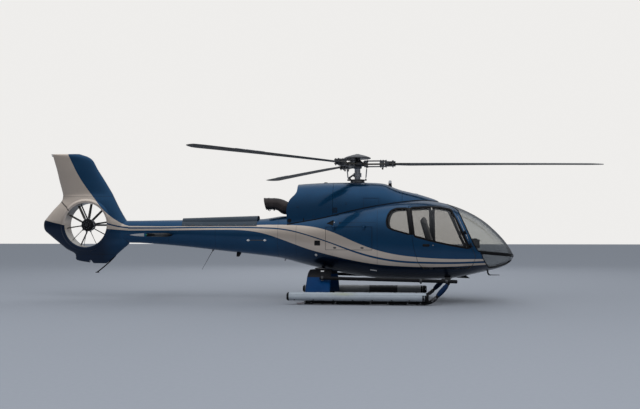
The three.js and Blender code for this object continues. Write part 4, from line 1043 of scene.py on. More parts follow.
def doorway(outline, side, rear_edge):
    """Opening for a front door, open down to the sill."""
    opened = [(x, z if z > 752 else CABIN_SILL - WALL) for x, z in grown(outline, GAP)]
    return within(soft_prism(opened, DOOR_CORNER, *side_range(side)), door_swing(side, rear_edge, GAP))


class HelicopterSizes(bpy.types.PropertyGroup):
    """Sizes that a user would change."""

    frame_width: bpy.props.FloatProperty(name="Window frame",
        description="Width of the black frame round each window", default=0.030, min=0.01, max=0.08,
        unit="LENGTH")
    seal_height: bpy.props.FloatProperty(name="Frame height",
        description="How far the window frames stand above the skin", default=0.0015, min=0.0005, max=0.01,
        unit="LENGTH")
    camera_lens: bpy.props.FloatProperty(name="Camera lens",
        description="Focal length of the view from the side", default=46.40, min=20, max=200, unit="CAMERA")


class HelicopterColours(bpy.types.PropertyGroup):
    """Colours that a user would change."""

    blue: bpy.props.FloatVectorProperty(name="Body blue", description="Darker of the body's two blues",
        default=(0.0035, 0.041, 0.106), subtype="COLOR", min=0, max=1)
    blue_light: bpy.props.FloatVectorProperty(name="Body light blue",
        description="Lighter of the body's two blues", default=(0.008, 0.069, 0.160), subtype="COLOR",
        min=0, max=1)
    # painted shade: the darker blue drawn below the gold band and on the fin's lower end
    painted_shade_blue: bpy.props.FloatVectorProperty(name="Navy", description="Shaded blue below the gold band",
        default=(0.002, 0.014, 0.040), subtype="COLOR", min=0, max=1)
    gold: bpy.props.FloatVectorProperty(name="Gold", description="Darker of the band's two golds",
        default=(0.60, 0.505, 0.425), subtype="COLOR", min=0, max=1)
    gold_light: bpy.props.FloatVectorProperty(name="Light gold",
        description="Lighter of the band's two golds", default=(0.71, 0.605, 0.515), subtype="COLOR", min=0,
        max=1)
    floor: bpy.props.FloatVectorProperty(name="Floor", description="Colour of the studio floor",
        default=(0.25, 0.268, 0.302), subtype="COLOR", min=0, max=1)


class HelicopterOperator:
    """Common part of the operators."""

    bl_options = {"REGISTER", "UNDO"}

    def execute(self, context):
        if not LOOK:
            make_looks(context.scene.helicopter_colours)
        self.build(context.scene.helicopter_sizes, context.scene.helicopter_colours)
        return {"FINISHED"}


def add_lip(name, outline, side):
    """The rubber lip behind a door's rear edge, on the inside of the skin beside it."""
    reach = side_range(side)
    front, top = {"right": (2420, 2020), "left": (2735, 1835), "sliding": (2800, 2020)}[name]
    strip = within(skin_shell(WALL - 1, WALL + 12), soft_prism(grown(outline, 18), 46, *reach),
        block(CABIN_REAR, front, *reach, 800, top))
    strip = without(strip, soft_prism(grown(outline, -14), PANE_CORNER, *reach),
        within(skin_shell(0, WALL + 7), soft_prism(grown(outline, GAP + 1), DOOR_CORNER, *reach)))
    add_piece(f"door_lip_{name}", strip, "rubber", "black_plastic")


def add_glass(sizes, name, outline, reach, body, look="glass", width=None):
    """A pane set into the wall and the black frame on the skin round it."""
    pane = within(skin_shell(9, 19), soft_prism(grown(outline, -TOUCH), PANE_CORNER, *reach))
    add_piece(name + "_pane", pane, look, replaces=[name], body=body)
    width = width or sizes.frame_width / MM
    inner = [max(abs(v), 1) * (1 if v > 0 else -1) for v in reach]
    outer = [v + (width if v > 0 else -width) if abs(v) > 1000 else v for v in inner]
    lift = sizes.seal_height / MM
    frame_ring = within(skin_shell(-lift, 4), soft_prism(grown(outline, width), DOOR_CORNER, *outer))
    frame_ring = without(frame_ring, soft_prism(grown(outline, -6), PANE_CORNER, *reach))
    add_piece(name + "_frame", frame_ring, "rubber", "black_plastic", body=body)


class AddCabin(HelicopterOperator, bpy.types.Operator):
    """Adds the canopy, the floor pan, the doors and the glass"""

    bl_idname = "helicopter.add_cabin"
    bl_label = "Cabin"

    def build(self, sizes, colours):
        rule = outer_rule([hull_tree()])
        skins = ("body", "trim")
        below = prism([(CABIN_REAR + TOUCH, 0), (AHEAD, 0), *reversed(SILL_LINE)])
        room = within(hull(WALL), block(CABIN_REAR - 1, AHEAD, -FAR, FAR, CABIN_FLOOR, ABOVE))
        add_piece("lower_hull_skin", without(within(hull(), below), room), skins, "navy_paint",
            ["lower_hull"], rule=rule)

        above = prism([*[(x, z + TOUCH) for x, z in SILL_LINE], (AHEAD, ABOVE), (CABIN_REAR + TOUCH, ABOVE)])
        cuts = [doorway(DOOR_RIGHT, -1, REAR_EDGE_RIGHT), doorway(DOOR_LEFT, 1, REAR_EDGE_LEFT),
            soft_prism(grown(SLIDING_SPACE, 3), DOOR_CORNER, 0, FAR),
            soft_prism(WINDOW_REAR, DOOR_CORNER, -FAR, 0)]
        for outline in (WINDSCREEN, CHIN_WINDOW):
            cuts += [soft_prism(outline, SCREEN_CORNER, -FAR, -CENTRE_POST),
                soft_prism(outline, SCREEN_CORNER, CENTRE_POST, FAR)]
        add_piece("canopy_skin", without(within(cabin_shell(), above), *cuts), skins, replaces=["canopy"],
            rule=rule)

        doors = [("front_door_right", DOOR_RIGHT, WINDOW_RIGHT, -1, "right_door", "door_window_right"),
            ("front_door_left", DOOR_LEFT, WINDOW_LEFT, 1, "left_door", "door_window_left"),
            ("sliding_door_left", DOOR_SLIDING, WINDOW_SLIDING, 1, "airframe", "sliding_door_window")]
        for name, outline, window, side, body, glass in doors:
            reach = side_range(side)
            panel = within(cabin_shell(), soft_prism(outline, DOOR_CORNER, *reach))
            if body != "airframe":
                panel = within(panel, door_swing(side, REAR_EDGE_RIGHT if side < 0 else REAR_EDGE_LEFT, 0))
            panel = without(panel, soft_prism(window, PANE_CORNER, *reach))
            add_piece(name + "_skin", panel, skins, replaces=[name], body=body, rule=rule)
            add_glass(sizes, glass, window, reach, body)
        for name, outline, side in zip(("right", "left", "sliding"), (DOOR_RIGHT, DOOR_LEFT, DOOR_SLIDING),
                (-1, 1, 1)):
            add_lip(name, outline, side)
        add_glass(sizes, "rear_window_right", WINDOW_REAR, side_range(-1), "airframe")
        for word, side, body in SIDES:
            reach = (-FAR, -CENTRE_POST - TOUCH) if side < 0 else (CENTRE_POST + TOUCH, FAR)
            for name, outline in (("windscreen", WINDSCREEN), ("chin_window", CHIN_WINDOW)):
                add_glass(sizes, f"{name}_{word}", outline, reach, "airframe", "screen", 14)


def bay_matrix(side):
    turn = rotation(-BAY["turn"])
    placed = shift((BAY["x"], -BAY["skin"], 0)) @ turn
    return placed if side < 0 else Matrix.Scale(-1, 4, (0, 1, 0)) @ placed


def add_cowlings():
    skin = body_mesh(COWL)
    inner = body_mesh(COWL, 22)
    ahead = [(3000, 1600), (3000, 2700)]
    rear_cut = prism([*rounded(COWL_REAR, 60), *ahead])
    rear_wall = prism([*rounded([(x + 22, z) for x, z in COWL_REAR], 60), *ahead])
    hollow = within(inner, rear_wall)
    exhaust_hole = rod((-800, 0, 2092), (-380, 0, 2012), 168, 64)
    mast_hole = rod((ROTOR_X, 0, 2300), (ROTOR_X, 0, 2800), 206, 64)
    cowl = without(within(skin, rear_cut), hollow, hull(-TOUCH), exhaust_hole, mast_hole)
    rule = outer_rule([tree_of(skin)])
    looks = ("body", "black")
    split_a, split_b = COWL_SPLIT
    # rubber seal along the cowl's lower edge; its black strip also stands in for the shade in the gap between
    # cowl and roof
    seal = within(body_mesh(COWL, -5), rear_cut, hull(-13))
    seal = without(seal, body_mesh(COWL, 10), hull(-TOUCH))
    add_piece("cowl_seal_and_shade", seal, "rubber", "black_plastic")
    for name, x0, x1 in (("engine_cowl", -1000, split_a - 3), ("gearbox_cowl", split_a + 3, split_b - 3),
            ("roof_fairing", split_b + 3, 3000)):
        part = within(cowl, block(x0, x1, -FAR, FAR, 1000, ABOVE))
        add_piece(name + "_skin", part, looks, replaces=[name], rule=rule)


class AddBody(HelicopterOperator, bpy.types.Operator):
    """Adds the body behind the cabin with its luggage doors, and the cowlings"""

    bl_idname = "helicopter.add_body"
    bl_label = "Rear body and cowlings"

    def build(self, sizes, colours):
        half = BAY["half"]
        skins = ("body", "trim")
        rule = outer_rule([hull_tree()])
        bays = [moved(block(-half - GAP, half + GAP, -400, BAY["depth"], BAY["z0"] - GAP, BAY["z1"] + GAP),
            bay_matrix(side)) for side in (-1, 1)]
        rear = within(hull(), block(BOOM_START + TOUCH, CABIN_REAR, -FAR, FAR, 0, ABOVE))
        add_piece("rear_body_skin", without(rear, *bays), skins, replaces=["rear_body"], rule=rule)
        shell = without(hull(), hull(WALL))
        for word, side, _ in SIDES:
            lid = within(shell, moved(block(-half, half, -400, BAY["depth"], BAY["z0"], BAY["z1"]),
                bay_matrix(side)))
            add_piece(f"luggage_door_{word}_skin", lid, skins, replaces=[f"luggage_door_{word}"],
                body=f"{word}_luggage_door", rule=rule)
        add_cowlings()


def add_fairing(boom_grown):
    ends = ((-1258, 178, 1880), (-2990, 128, 1830))

    def place(u, v):
        x, half, top = (a + (b - a) * u for a, b in zip(*ends))
        angle = pi * v
        y = half * power(cos(angle), 0.6)
        return Vector((x, y, 1640 + (top - 1640) * power(sin(angle), 0.6))) * MM
    bm = grid(16, 40, place)
    part = without(to_mesh(closed(bm)), boom_grown)
    add_piece("drive_shaft_fairing_skin", bevelled(part, 6, 3), "shaft_cover",
        replaces=["drive_shaft_fairing"])
    saddle = within(body_mesh(TAIL_BOOM, -7, steps=12, sides=72), block(-2990, -1258, -400, 400, 1652, 1900))
    saddle = without(saddle, boom_grown)
    add_piece("shaft_fairing_saddle", bevelled(saddle, 2), "shaft_cover")
    plates, heads = [], []
    for side in (-1, 1):
        for k in range(9):
            x = -1330 - 200 * k
            point, normal = seen(boom_tree(), x, 1668, side)
            heads.append((point / MM + normal * 7, normal))
            if k % 2:
                turn = normal.to_track_quat("Z", "Y").to_matrix().to_4x4()
                plates.append(moved(tile(64, 26, 5, 6.5, 11, 1.5), Matrix.Translation(point) @ turn))
    add_piece("shaft_fairing_catches", plates, "grey", "machinery_metal")
    add_piece("shaft_fairing_screws", studs(heads, 7, 3, 12), "metal")


def add_fin(boom):
    def place(u, v):
        z, trailing, leading, half = row_at(FIN, u * (len(FIN) - 1))
        angle = tau * v
        x = (trailing + leading) / 2 + (leading - trailing) / 2 * cos(angle)
        y = half * sin(angle) * (1 + 0.25 * cos(angle))
        return Vector((x, y, z)) * MM
    blade = lofted(8 * (len(FIN) - 1), 64, place)
    across = ((DUCT_X, 0, DUCT_Z), (DUCT_X, -1, DUCT_Z))
    lip = [(DUCT_R - 20, -175), (DUCT_R, -190), (DUCT_R + 14, -199), (DUCT_R + 36, -205), (560, -200),
        (600, -165), (600, 165), (560, 200), (DUCT_R + 36, 205), (DUCT_R + 14, 199), (DUCT_R, 190),
        (DUCT_R - 20, 175), (DUCT_R - 20, -175)]
    rim = turned(lip, 96, *across)
    stub = within(boom, block(-5000, BOOM_END, -FAR, FAR, 0, ABOVE))
    plug = turned([(0, -400), (DUCT_R, -400), (DUCT_R, 400), (0, 400)], 96, *across)
    notch = prism([(-5215, 700), (-5205, 868), (-5155, 880), (-5095, 780), (-5095, 700)], -200, 200)
    part = within(united(blade, rim, stub), block(-6318, BOOM_END, -1000, 1000, 0, 4000))
    part = without(part, plug, notch)
    add_piece("tail_fin_skin", part, "fin", replaces=["tail_fin"])


def add_stabiliser(word, side, boom_grown):
    ends = ((90, -3800, -3195, 44), (1365, -3780, -3230, 32))

    def place(u, v):
        y, back, front, half = (a + (b - a) * u for a, b in zip(*ends))
        angle = tau * v
        along = cos(angle)
        x = (back + front) / 2 + (front - back) / 2 * along
        return Vector((x, side * y, 1450 + half * sin(angle) * (1 + 0.35 * along))) * MM
    part = without(lofted(12, 48, place), boom_grown)
    add_piece(f"stabiliser_{word}_skin", bevelled(part, 8, 3), "stabiliser", replaces=[f"stabiliser_{word}"])


class AddTail(HelicopterOperator, bpy.types.Operator):
    """Adds the tail boom, the fin with its fan duct, the stabilisers and the shaft fairing"""

    bl_idname = "helicopter.add_tail"
    bl_label = "Tail"

    def build(self, sizes, colours):
        boom = body_mesh(TAIL_BOOM, 0, steps=12, sides=72)
        boom_grown = body_mesh(TAIL_BOOM, -TOUCH, steps=12, sides=72)
        part = within(boom, block(BOOM_END + TOUCH, BOOM_START, -FAR, FAR, 0, ABOVE))
        add_piece("tail_boom_skin", part, "body", replaces=["tail_boom"])
        add_fairing(boom_grown)
        add_fin(boom)
        for word, side, _ in SIDES:
            add_stabiliser(word, side, boom_grown)


def at_mast(angle):
    """Matrix that lays a shape drawn about z on the mast, turned by an angle in degrees."""
    return shift((ROTOR_X, 0, 0)) @ rotation(angle)


# Rotor blade: radius of its tip and of each of its sections
BLADE_TIP = 5345
BLADE_RADII = (
    700.3, 716, 790, 870, 960, 1060, 1158, 1500, 1900, 2300, 2700, 3100, 3500, 3900, 4300, 4650, 4900, 4970,
    5040, 5110, 5170, 5230, 5270, 5300, 5325, BLADE_TIP,
)


def blade_shape(radius):
    """Chord, half thickness, height of the blade's axis, twist and sweep at a radius."""
    at_root = min(1.0, max(0.0, 1 - (radius - 758) / 400))
    to_tip = max(0.0, (radius - 0.93 * BLADE_TIP) / (0.07 * BLADE_TIP))
    width = 350 * (1 - 0.4 * at_root) * (1 - 0.45 * to_tip ** 2)
    thick = (21 + 5 * at_root) * (1 - 0.55 * to_tip ** 2)
    height = 3030 - 50 * (radius / BLADE_TIP) ** 1.5
    return width, thick, height, radians(6 - 9 * radius / BLADE_TIP), 95 * to_tip ** 2


def blade_point(radius, along, above):
    """Place on the blade: along from 0 at the leading edge to 1, above in half thicknesses."""
    width, thick, height, twist, sweep = blade_shape(radius)
    y = (along - 0.25) * width + sweep
    up = thick * above
    c, s = cos(twist), sin(twist)
    return Vector((radius, y * c + up * s, height - y * s + up * c))


def rotor_piece(name, mesh, look, slot=None, replaces=(), angle=0, body="main_rotor", crease=30):
    """A piece drawn about the mast."""
    add_piece(name, moved(whole(mesh), at_mast(angle)), look, slot, replaces, body, crease)


def arm_piece(k, name, mesh, look):
    """A piece of one of the three arms, drawn for the one that lies along x."""
    rotor_piece(f"{name}_{k + 1}", mesh, look, angle=120 * k)


def add_mast():
    housing = turned([(78, 2441), (120, 2441), (121, 2500), (126, 2552), (190, 2580), (197, 2588),
        (197, 2604), (192, 2608), (166, 2612), (158, 2620), (158, 2640), (78, 2640), (78, 2441)], 72)
    rotor_piece("mast_cover", bevelled(housing, 2), "grey", replaces=["mast_housing"], body="airframe")
    spots = ring_of(16, 182, 2606)
    rotor_piece("mast_cover_bolts", studs(spots, 6, 8), "metal", body="airframe")
    seal = turned([(197.5, 2596), (205, 2596), (205, 2607), (197.5, 2607), (197.5, 2596)], 64)
    rotor_piece("mast_seal", seal, "rubber", body="airframe")
    mast = turned([(0, 2441), (65, 2441), (65, 2736), (70, 2741), (92, 2741), (92, 2750), (88, 2752),
        (88, 2808), (92, 2810), (92, 2820), (70, 2820), (65, 2826), (65, 2920), (90, 2928), (97, 2936),
        (0, 2936)], 48)
    rotor_piece("mast_tube", bevelled(mast, 1), "metal", replaces=["rotor_mast"])
    rotor_piece("mast_nuts", studs(ring_of(12, 78, 2820), 6, 9), "black")


# Turns about the mast of the links that run from the turning ring up to the blades, in degrees
LINK_TURNS = (-32, 88, 208)


def add_rotor_controls():
    """The turning ring, its links up to the blades and the folding link that drives it."""
    ring = turned([(66, 2650), (96, 2644), (150, 2646), (156, 2650), (156, 2678), (150, 2682), (66, 2682),
        (66, 2650)], 60)
    lugs = [moved(slab([(118, -26), (222, -17), (246, -8), (246, 8), (222, 17), (118, 26)], 2650, 2676, 4),
        rotation(a)) for a in LINK_TURNS]
    rotor_piece("swash_ring", [bevelled(ring, 2), *lugs], "grey", "machinery_metal", ["swashplate"])
    still = turned([(80, 2641), (152, 2641), (152, 2643.5), (80, 2643.5), (80, 2641)], 60)
    rotor_piece("swash_bearing", still, "metal", body="airframe")
    rods, ends = [], []
    for a in LINK_TURNS:
        turn = radians(a)
        foot, top = (Vector((r * cos(turn), r * sin(turn), z)) for r, z in ((228, 2686), (254, 2944)))
        profile = [(0, 0), (7, 0), (7, 26), (11, 34), (13, 60), (13, 200), (11, 226), (7, 234), (7, 258),
            (0, 258)]
        rods.append(turned(profile, 20, foot, top))
        for spot in (foot + Vector((0, 0, -16)), top + Vector((0, 0, 6))):
            ends.append(turned([(0, -16), (9, -16), (17, -9), (19, 0), (17, 9), (9, 16), (0, 16)], 20, spot,
                spot + Vector((cos(turn), sin(turn), 0))))
    rotor_piece("pitch_links", rods, "metal")
    rotor_piece("pitch_link_ends", ends, "black")
    # folding link, to the left of the mast in the side view
    folds = []
    for y in (-14, 14):
        for start, end in (((-150, y, 2668), (-196, y, 2716)), ((-196, y, 2716), (-98, y, 2782))):
            folds.append(swept([start, end], 11, 12, 2, (1.0, 1.7)))
    places = ((-196, 32, 2716, 12), (-150, 30, 2668, 11), (-96, 30, 2782, 11))
    pins = [rod((x, -y, z), (x, y, z), radius) for x, y, z, radius in places]
    rotor_piece("folding_link", [*folds, *pins], "grey", "machinery_metal", angle=20)
    rotor_piece("folding_link_lug", block(-112, -84, -10, 10, 2762, 2800, 3), "grey", "machinery_metal",
        angle=20)


def add_star():
    core = turned([(0, 2936.5), (98, 2936.5), (98, 2968), (132, 2990), (146, 3004), (146, 3050),
        (132, 3062), (92, 3096), (64, 3120), (60, 3149), (0, 3149)], 60)
    rotor_piece("head_core", bevelled(core, 1.5), "grey", replaces=["rotor_head"])
    arms = []
    half = [(120, 96), (170, 62), (300, 44), (470, 46), (545, 58), (607, 52)]
    for k in range(3):
        outline = [(x, -y) for x, y in half] + [(x, y) for x, y in reversed(half)]
        arms.append(moved(slab(rounded(outline, 24), 3009, 3041, 6), rotation(120 * k)))
    rotor_piece("star_arms", arms, "composite")
    spots = ring_of(12, 116, 3060) + ring_of(6, 74, 3108)
    rotor_piece("head_bolts", studs(spots, 9, 12), "metal")


def add_arm(k):
    """The two plates, bearing, damper block and fork that carry one blade."""
    upper = [(150, -52), (176, -74), (250, -76), (500, -74), (655, -66), (655, 66), (500, 74), (250, 76),
        (176, 74), (150, 52)]
    lower = [(150, -52), (160, -110), (168, -160), (186, -186), (222, -182), (244, -150), (252, -84),
        (300, -76), (500, -74), (655, -66), (655, 66), (500, 74), (250, 76), (176, 74), (150, 52)]
    plates = [slab(rounded(upper, 18), 3087, 3105, 5), slab(rounded(lower, 18), 2961, 2978, 5)]
    arm_piece(k, "sleeve_plates", plates, "grey")
    # laminated bearing at the root and damper block at the end of the star's arm
    layers = []
    for i in range(6):
        z = 2979 + i * 4.6
        layers.append(disc(185, 0, z, z + 3.0, 62 - i * 3, 40))
        layers.append(disc(185, 0, 3086 - i * 7 - 4.4, 3086 - i * 7, 62 - i * 3, 40))
    arm_piece(k, "thrust_bearing", layers, "metal")
    core = turned([(0, 0), (54, 0), (46, 26), (40, 29), (0, 29)], 32, (185, 0, 2979), (185, 0, 2980))
    top = turned([(0, 0), (40, 0), (44, 6), (52, 43), (0, 43)], 32, (185, 0, 3042), (185, 0, 3043))
    arm_piece(k, "bearing_rubber", [core, top], "rubber")
    steel, rubber = [], []
    for i in range(5):
        for base, top in ((2979, 3008), (3042, 3086)):
            step = (top - base) / 5
            outline = rounded([(x + 548, y)
                for x, y in box_outline(104 - (i % 2) * 10, 118 - (i % 2) * 10)], 12)
            made = slab(outline, base + i * step, base + (i + 1) * step - 0.2)
            (rubber if i % 2 else steel).append(made)
    arm_piece(k, "damper_steel", steel, "metal")
    arm_piece(k, "damper_rubber", rubber, "rubber")
    # fork round the blade root with its two pins
    fork = [slab(rounded([(608, -66), (700, -66), (700, 66), (608, 66)], 10), 2979, 3086, 5)]
    for z0, z1 in ((3052, 3084), (2972, 3000)):
        outline = rounded([(640, -60), (820, -54), (850, -30), (850, 30), (820, 54), (640, 60)], 14)
        fork.append(slab(outline, z0, z1, 5))
    arm_piece(k, "blade_fork", fork, "grey")
    pins, nuts = [], []
    for y in (-36, 36):
        pins.append(disc(790, y, 2950, 3106, 13, 24))
        pins.append(disc(790, y, 3084, 3096, 24, 24))
        nuts.append(((790, y, 2972), (0, 0, -1)))
    for x, y in ((520, -52), (520, 52), (576, -52), (576, 52), (640, -48), (640, 48), (230, -56), (230, 56)):
        nuts += [((x, y, 3105), (0, 0, 1)), ((x, y, 2961), (0, 0, -1))]
    arm_piece(k, "blade_pins", pins, "metal")
    arm_piece(k, "arm_bolts", studs(nuts, 11, 13), "metal")
    weights = [disc(560, y, 2906, 2948, 17, 24) for y in (-40, 40)]
    arm_piece(k, "balance_weights", [bevelled(w, 3) for w in weights], "black")


def add_blade(k):
    last = len(BLADE_RADII) - 1

    def place(u, v):
        angle = tau * v
        along = 0.5 - 0.5 * cos(angle)
        return blade_point(BLADE_RADII[round(u * last)], along, sin(angle) * (1.25 - 0.9 * along)) * MM
    mesh = lofted(last, 48, place)

    def rule(polygon):
        radius, y = polygon.center.x / MM, polygon.center.y / MM
        width, *_, sweep = blade_shape(radius)
        return 1 if radius > 1250 and y < -0.25 * width + 0.09 * width + sweep else 0
    picked = [rule(p) for p in mesh.polygons]
    piece = add_piece(f"blade_{k + 1}_skin", moved(mesh, at_mast(120 * k)), ("blade", "edge"), "blade_grey",
        [f"rotor_blade_{k + 1}"], "main_rotor")
    piece.data.polygons.foreach_set("material_index", picked)
    tabs = []
    for r0, r1 in ((3550, 3790), (3830, 4070), (4110, 4350)):
        edge = [blade_point(r, 0.985, 0) for r in (r0, r1)]
        back = [blade_point(r, 1.10, 0) for r in (r1, r0)]
        outline = [(p.x, p.y) for p in (*edge, *back)]
        tabs.append(slab(outline, edge[0].z - 2.4, edge[0].z + 0.4))
    arm_piece(k, "trim_tabs", tabs, "metal")


def add_cap():
    under = 3150.3
    dome = turned([(0, under + 12), (120, under + 9), (286, under - 2), (292, under - 2), (298, under + 4),
        (299, under + 10), (294, 3170), (220, 3200), (150, 3222), (90, 3238), (52, 3246), (44, 3251),
        (0, 3252)], 96)
    rotor_piece("cap_dome", dome, "cap", replaces=["hub_cap"], crease=50)
    foot = turned([(0, 3149.2), (58, 3149.2), (58, 3156), (90, 3158), (90, 3163), (0, 3163)], 40)
    rotor_piece("cap_foot", foot, "grey")
    spots = []
    for radius, z in ((30, 3251), (254, 3186)):
        spots += [((x, y, zz - 1), (0.12 * x / radius, 0.12 * y / radius, 1))
            for (x, y, zz), _ in ring_of(6 if radius < 50 else 9, radius, z)]
    rotor_piece("cap_screws", studs(spots, 6, 5, 12), "metal")


class AddRotor(HelicopterOperator, bpy.types.Operator):
    """Adds the mast, the rotor head and the three blades"""

    bl_idname = "helicopter.add_rotor"
    bl_label = "Main rotor"

    def build(self, sizes, colours):
        add_mast()
        add_rotor_controls()
        add_star()
        for k in range(3):
            add_arm(k)
            add_blade(k)
        add_cap()


def fan_piece(name, mesh, look, slot=None, replaces=(), body="airframe"):
    """A piece drawn about z and laid on the fan's axis, its z axis to starboard."""
    at_duct = shift((DUCT_X, 0, DUCT_Z)) @ rotation(90, "X")
    add_piece(name, moved(whole(mesh), at_duct), look, slot, replaces, body, 30)


def fan_blade():
    def place(u, v):
        radius = 150 + (492 - 150) * u
        chord = 112 - 26 * u
        thick = 9.5 - 5 * u
        twist = radians(76 - 8 * u)
        angle = tau * v
        along = 0.5 - 0.5 * cos(angle)
        a = (along - 0.45) * chord
        up = thick * sin(angle) * (1.25 - 0.9 * along) + 5 * sin(pi * along)
        return Vector((radius, a * cos(twist) - up * sin(twist), 46 + (a * sin(twist) + up * cos(twist))
            * 0.8)) * MM
    return form("fan_blade", lambda: lofted(8, 20, place))


def add_lining():
    """The duct's inner ring, with its two rows of screws."""
    ring = turned([(DUCT_R, -172), (DUCT_R, 172), (DUCT_R - 2.5, 170), (DUCT_R - 3, 120),
        (DUCT_R - 3, -120), (DUCT_R - 2.5, -170), (DUCT_R, -172)], 128)
    fan_piece("duct_lining", ring, "lining")
    screws = []
    for z in (-150, 150):
        for k in range(36):
            a = tau * k / 36
            out = Vector((cos(a), sin(a), 0))
            screws.append((out * (DUCT_R - 2.6) + Vector((0, 0, z)), -out))
    fan_piece("duct_screws", studs(screws, 5, 2, 10), "metal")


def add_guard():
    path = [(-4566, 0, 1088), (-4590, 0, 985), (-4650, 0, 915), (-4760, 0, 810), (-4890, 0, 700),
        (-4990, 0, 622), (-5035, 0, 590)]
    bar = swept(path, 14, 24, 6)
    foot = block(-5060, -4985, -30, 30, 583, 599, 5)
    collar = turned([(0, -20), (24, -20), (30, -8), (30, 22), (0, 22)], 32, (-4572, 0, 1068),
        (-4560, 0, 1120))
    add_piece("guard_bar", [bar, foot, collar], "black", replaces=["tail_guard"])


class AddTailFan(HelicopterOperator, bpy.types.Operator):
    """Adds the tail fan, the gearbox that holds it in its duct, and the guard below"""

    bl_idname = "helicopter.add_tail_fan"
    bl_label = "Tail fan"

    def build(self, sizes, colours):
        hub = turned([(0, 12.5), (134, 12.5), (141, 16), (142, 24), (142, 74), (136, 84), (116, 92),
            (108, 112), (96, 118), (56, 120), (52, 130), (44, 134), (0, 134)], 64)
        fan_piece("fan_hub", bevelled(hub, 1.5), "black", "blade_grey", ["tail_fan"], "tail_rotor")
        spots = ring_of(10, 82, 118, 0.3) + ring_of(6, 28, 134)
        fan_piece("fan_bolts", studs(spots, 7, 9), "metal", body="tail_rotor")
        blades, cuffs = [], []
        for k in range(10):
            turn = rotation(36 * k + 8)
            blades.append(moved(fan_blade(), turn))
            cuffs.append(moved(turned([(0, 120), (27, 120), (27, 142), (22, 152), (15, 176), (0, 176)], 20,
                (0, 0, 46), (1, 0, 46)), turn))
        fan_piece("fan_blades", blades, "blade", "blade_grey", body="tail_rotor")
        fan_piece("fan_cuffs", cuffs, "metal", "blade_grey", body="tail_rotor")
        body = turned([(0, -175), (60, -175), (84, -168), (92, -160), (100, -140), (124, -126), (130, -110),
            (130, 2), (124, 6), (30, 6), (30, 11.8), (0, 11.8)], 56)
        fan_piece("fan_gearbox", bevelled(body, 2), "grey", replaces=["tail_gearbox"])
        fan_piece("fan_gearbox_bolts", studs(ring_of(12, 112, -133, up=-1), 7, 9), "metal")
        arms = []
        for angle, thick in ((0, 36), (115, 24), (245, 24)):
            a = radians(angle)
            out = Vector((cos(a), sin(a), 0))
            points = [out * r + Vector((0, 0, -95)) for r in (100, 200, 320, 440, 504.5)]
            arms.append(swept(points, thick, 28, 4, (0.62, 1.0)))
        fan_piece("fan_arms", arms, "grey")
        add_lining()
        add_guard()


# Landing gear: distance from the middle, radius and height of the skids, then floats and boarding steps
SKID_Y, SKID_R, SKID_Z = 1200, 36, 42
FLOAT_Y, FLOAT_Z, FLOAT_R, FLOAT_REAR, FLOAT_FRONT = 1302, 172, 88, -420, 2520
FLOAT_STRAPS = (-250, 150, 560, 960, 1360, 1760, 2120, 2400)
STEP_Y, STEP_R = 1010, 36
STEP_REAR, STEP_FRONT = (235, STEP_Y, 542), (3110, STEP_Y, 478)


def gear_piece(hand, name, mesh, look, slot=None, replaces=(), crease=30):
    """A piece of one side, drawn for port and mirrored to starboard."""
    word, side = hand[:2]
    made = whole(mesh) if side > 0 else mirrored(whole(mesh))
    stood_for = [f"{node}_{word}" for node in replaces]
    return add_piece(f"{name}_{word}", made, look, slot, stood_for, crease=crease)


def add_skid(hand):
    y, z = SKID_Y, SKID_Z
    tube = swept([*[(x, y, z) for x in (-60, 500, 1200, 1900, 2380)], (2460, y, 45), (2550, y, 66),
        (2632, y, 113)], SKID_R, 40, 8)
    gear_piece(hand, "skid_tube", bevelled(tube, 6, 3), "black", replaces=["skid"])
    spring = swept([(-30, y, 34), (-90, y, 27), (-160, y, 23), (-222, y, 24)], 13, 16, 4, (1.6, 0.5))
    cap = turned([(0, -8), (30, -8), (36.4, -2), (36.4, 20), (0, 20)], 40, (-60, y, z), (0, y, z))
    gear_piece(hand, "skid_end", cap, "metal")
    gear_piece(hand, "skid_spring", bevelled(spring, 1), "spring")
    shoes, bands, heads = [], [], []
    for x0, x1 in ((60, 620), (1300, 1700), (2060, 2370)):
        shoes.append(block(x0, x1, y - 26, y + 26, 0.2, 16, 4))
        for x in (x0 + 24, x1 - 24):
            bands.append(band(36.2, 38.6, 16, 40, (x, y, z), (x + 1, y, z)))
            heads += [((x, y + s * 38, z), (0, s, 0)) for s in (1, -1)]
    gear_piece(hand, "skid_shoes", shoes, "metal")
    gear_piece(hand, "skid_bands", bands, "grey")
    gear_piece(hand, "skid_band_bolts", studs(heads, 7, 7), "metal")


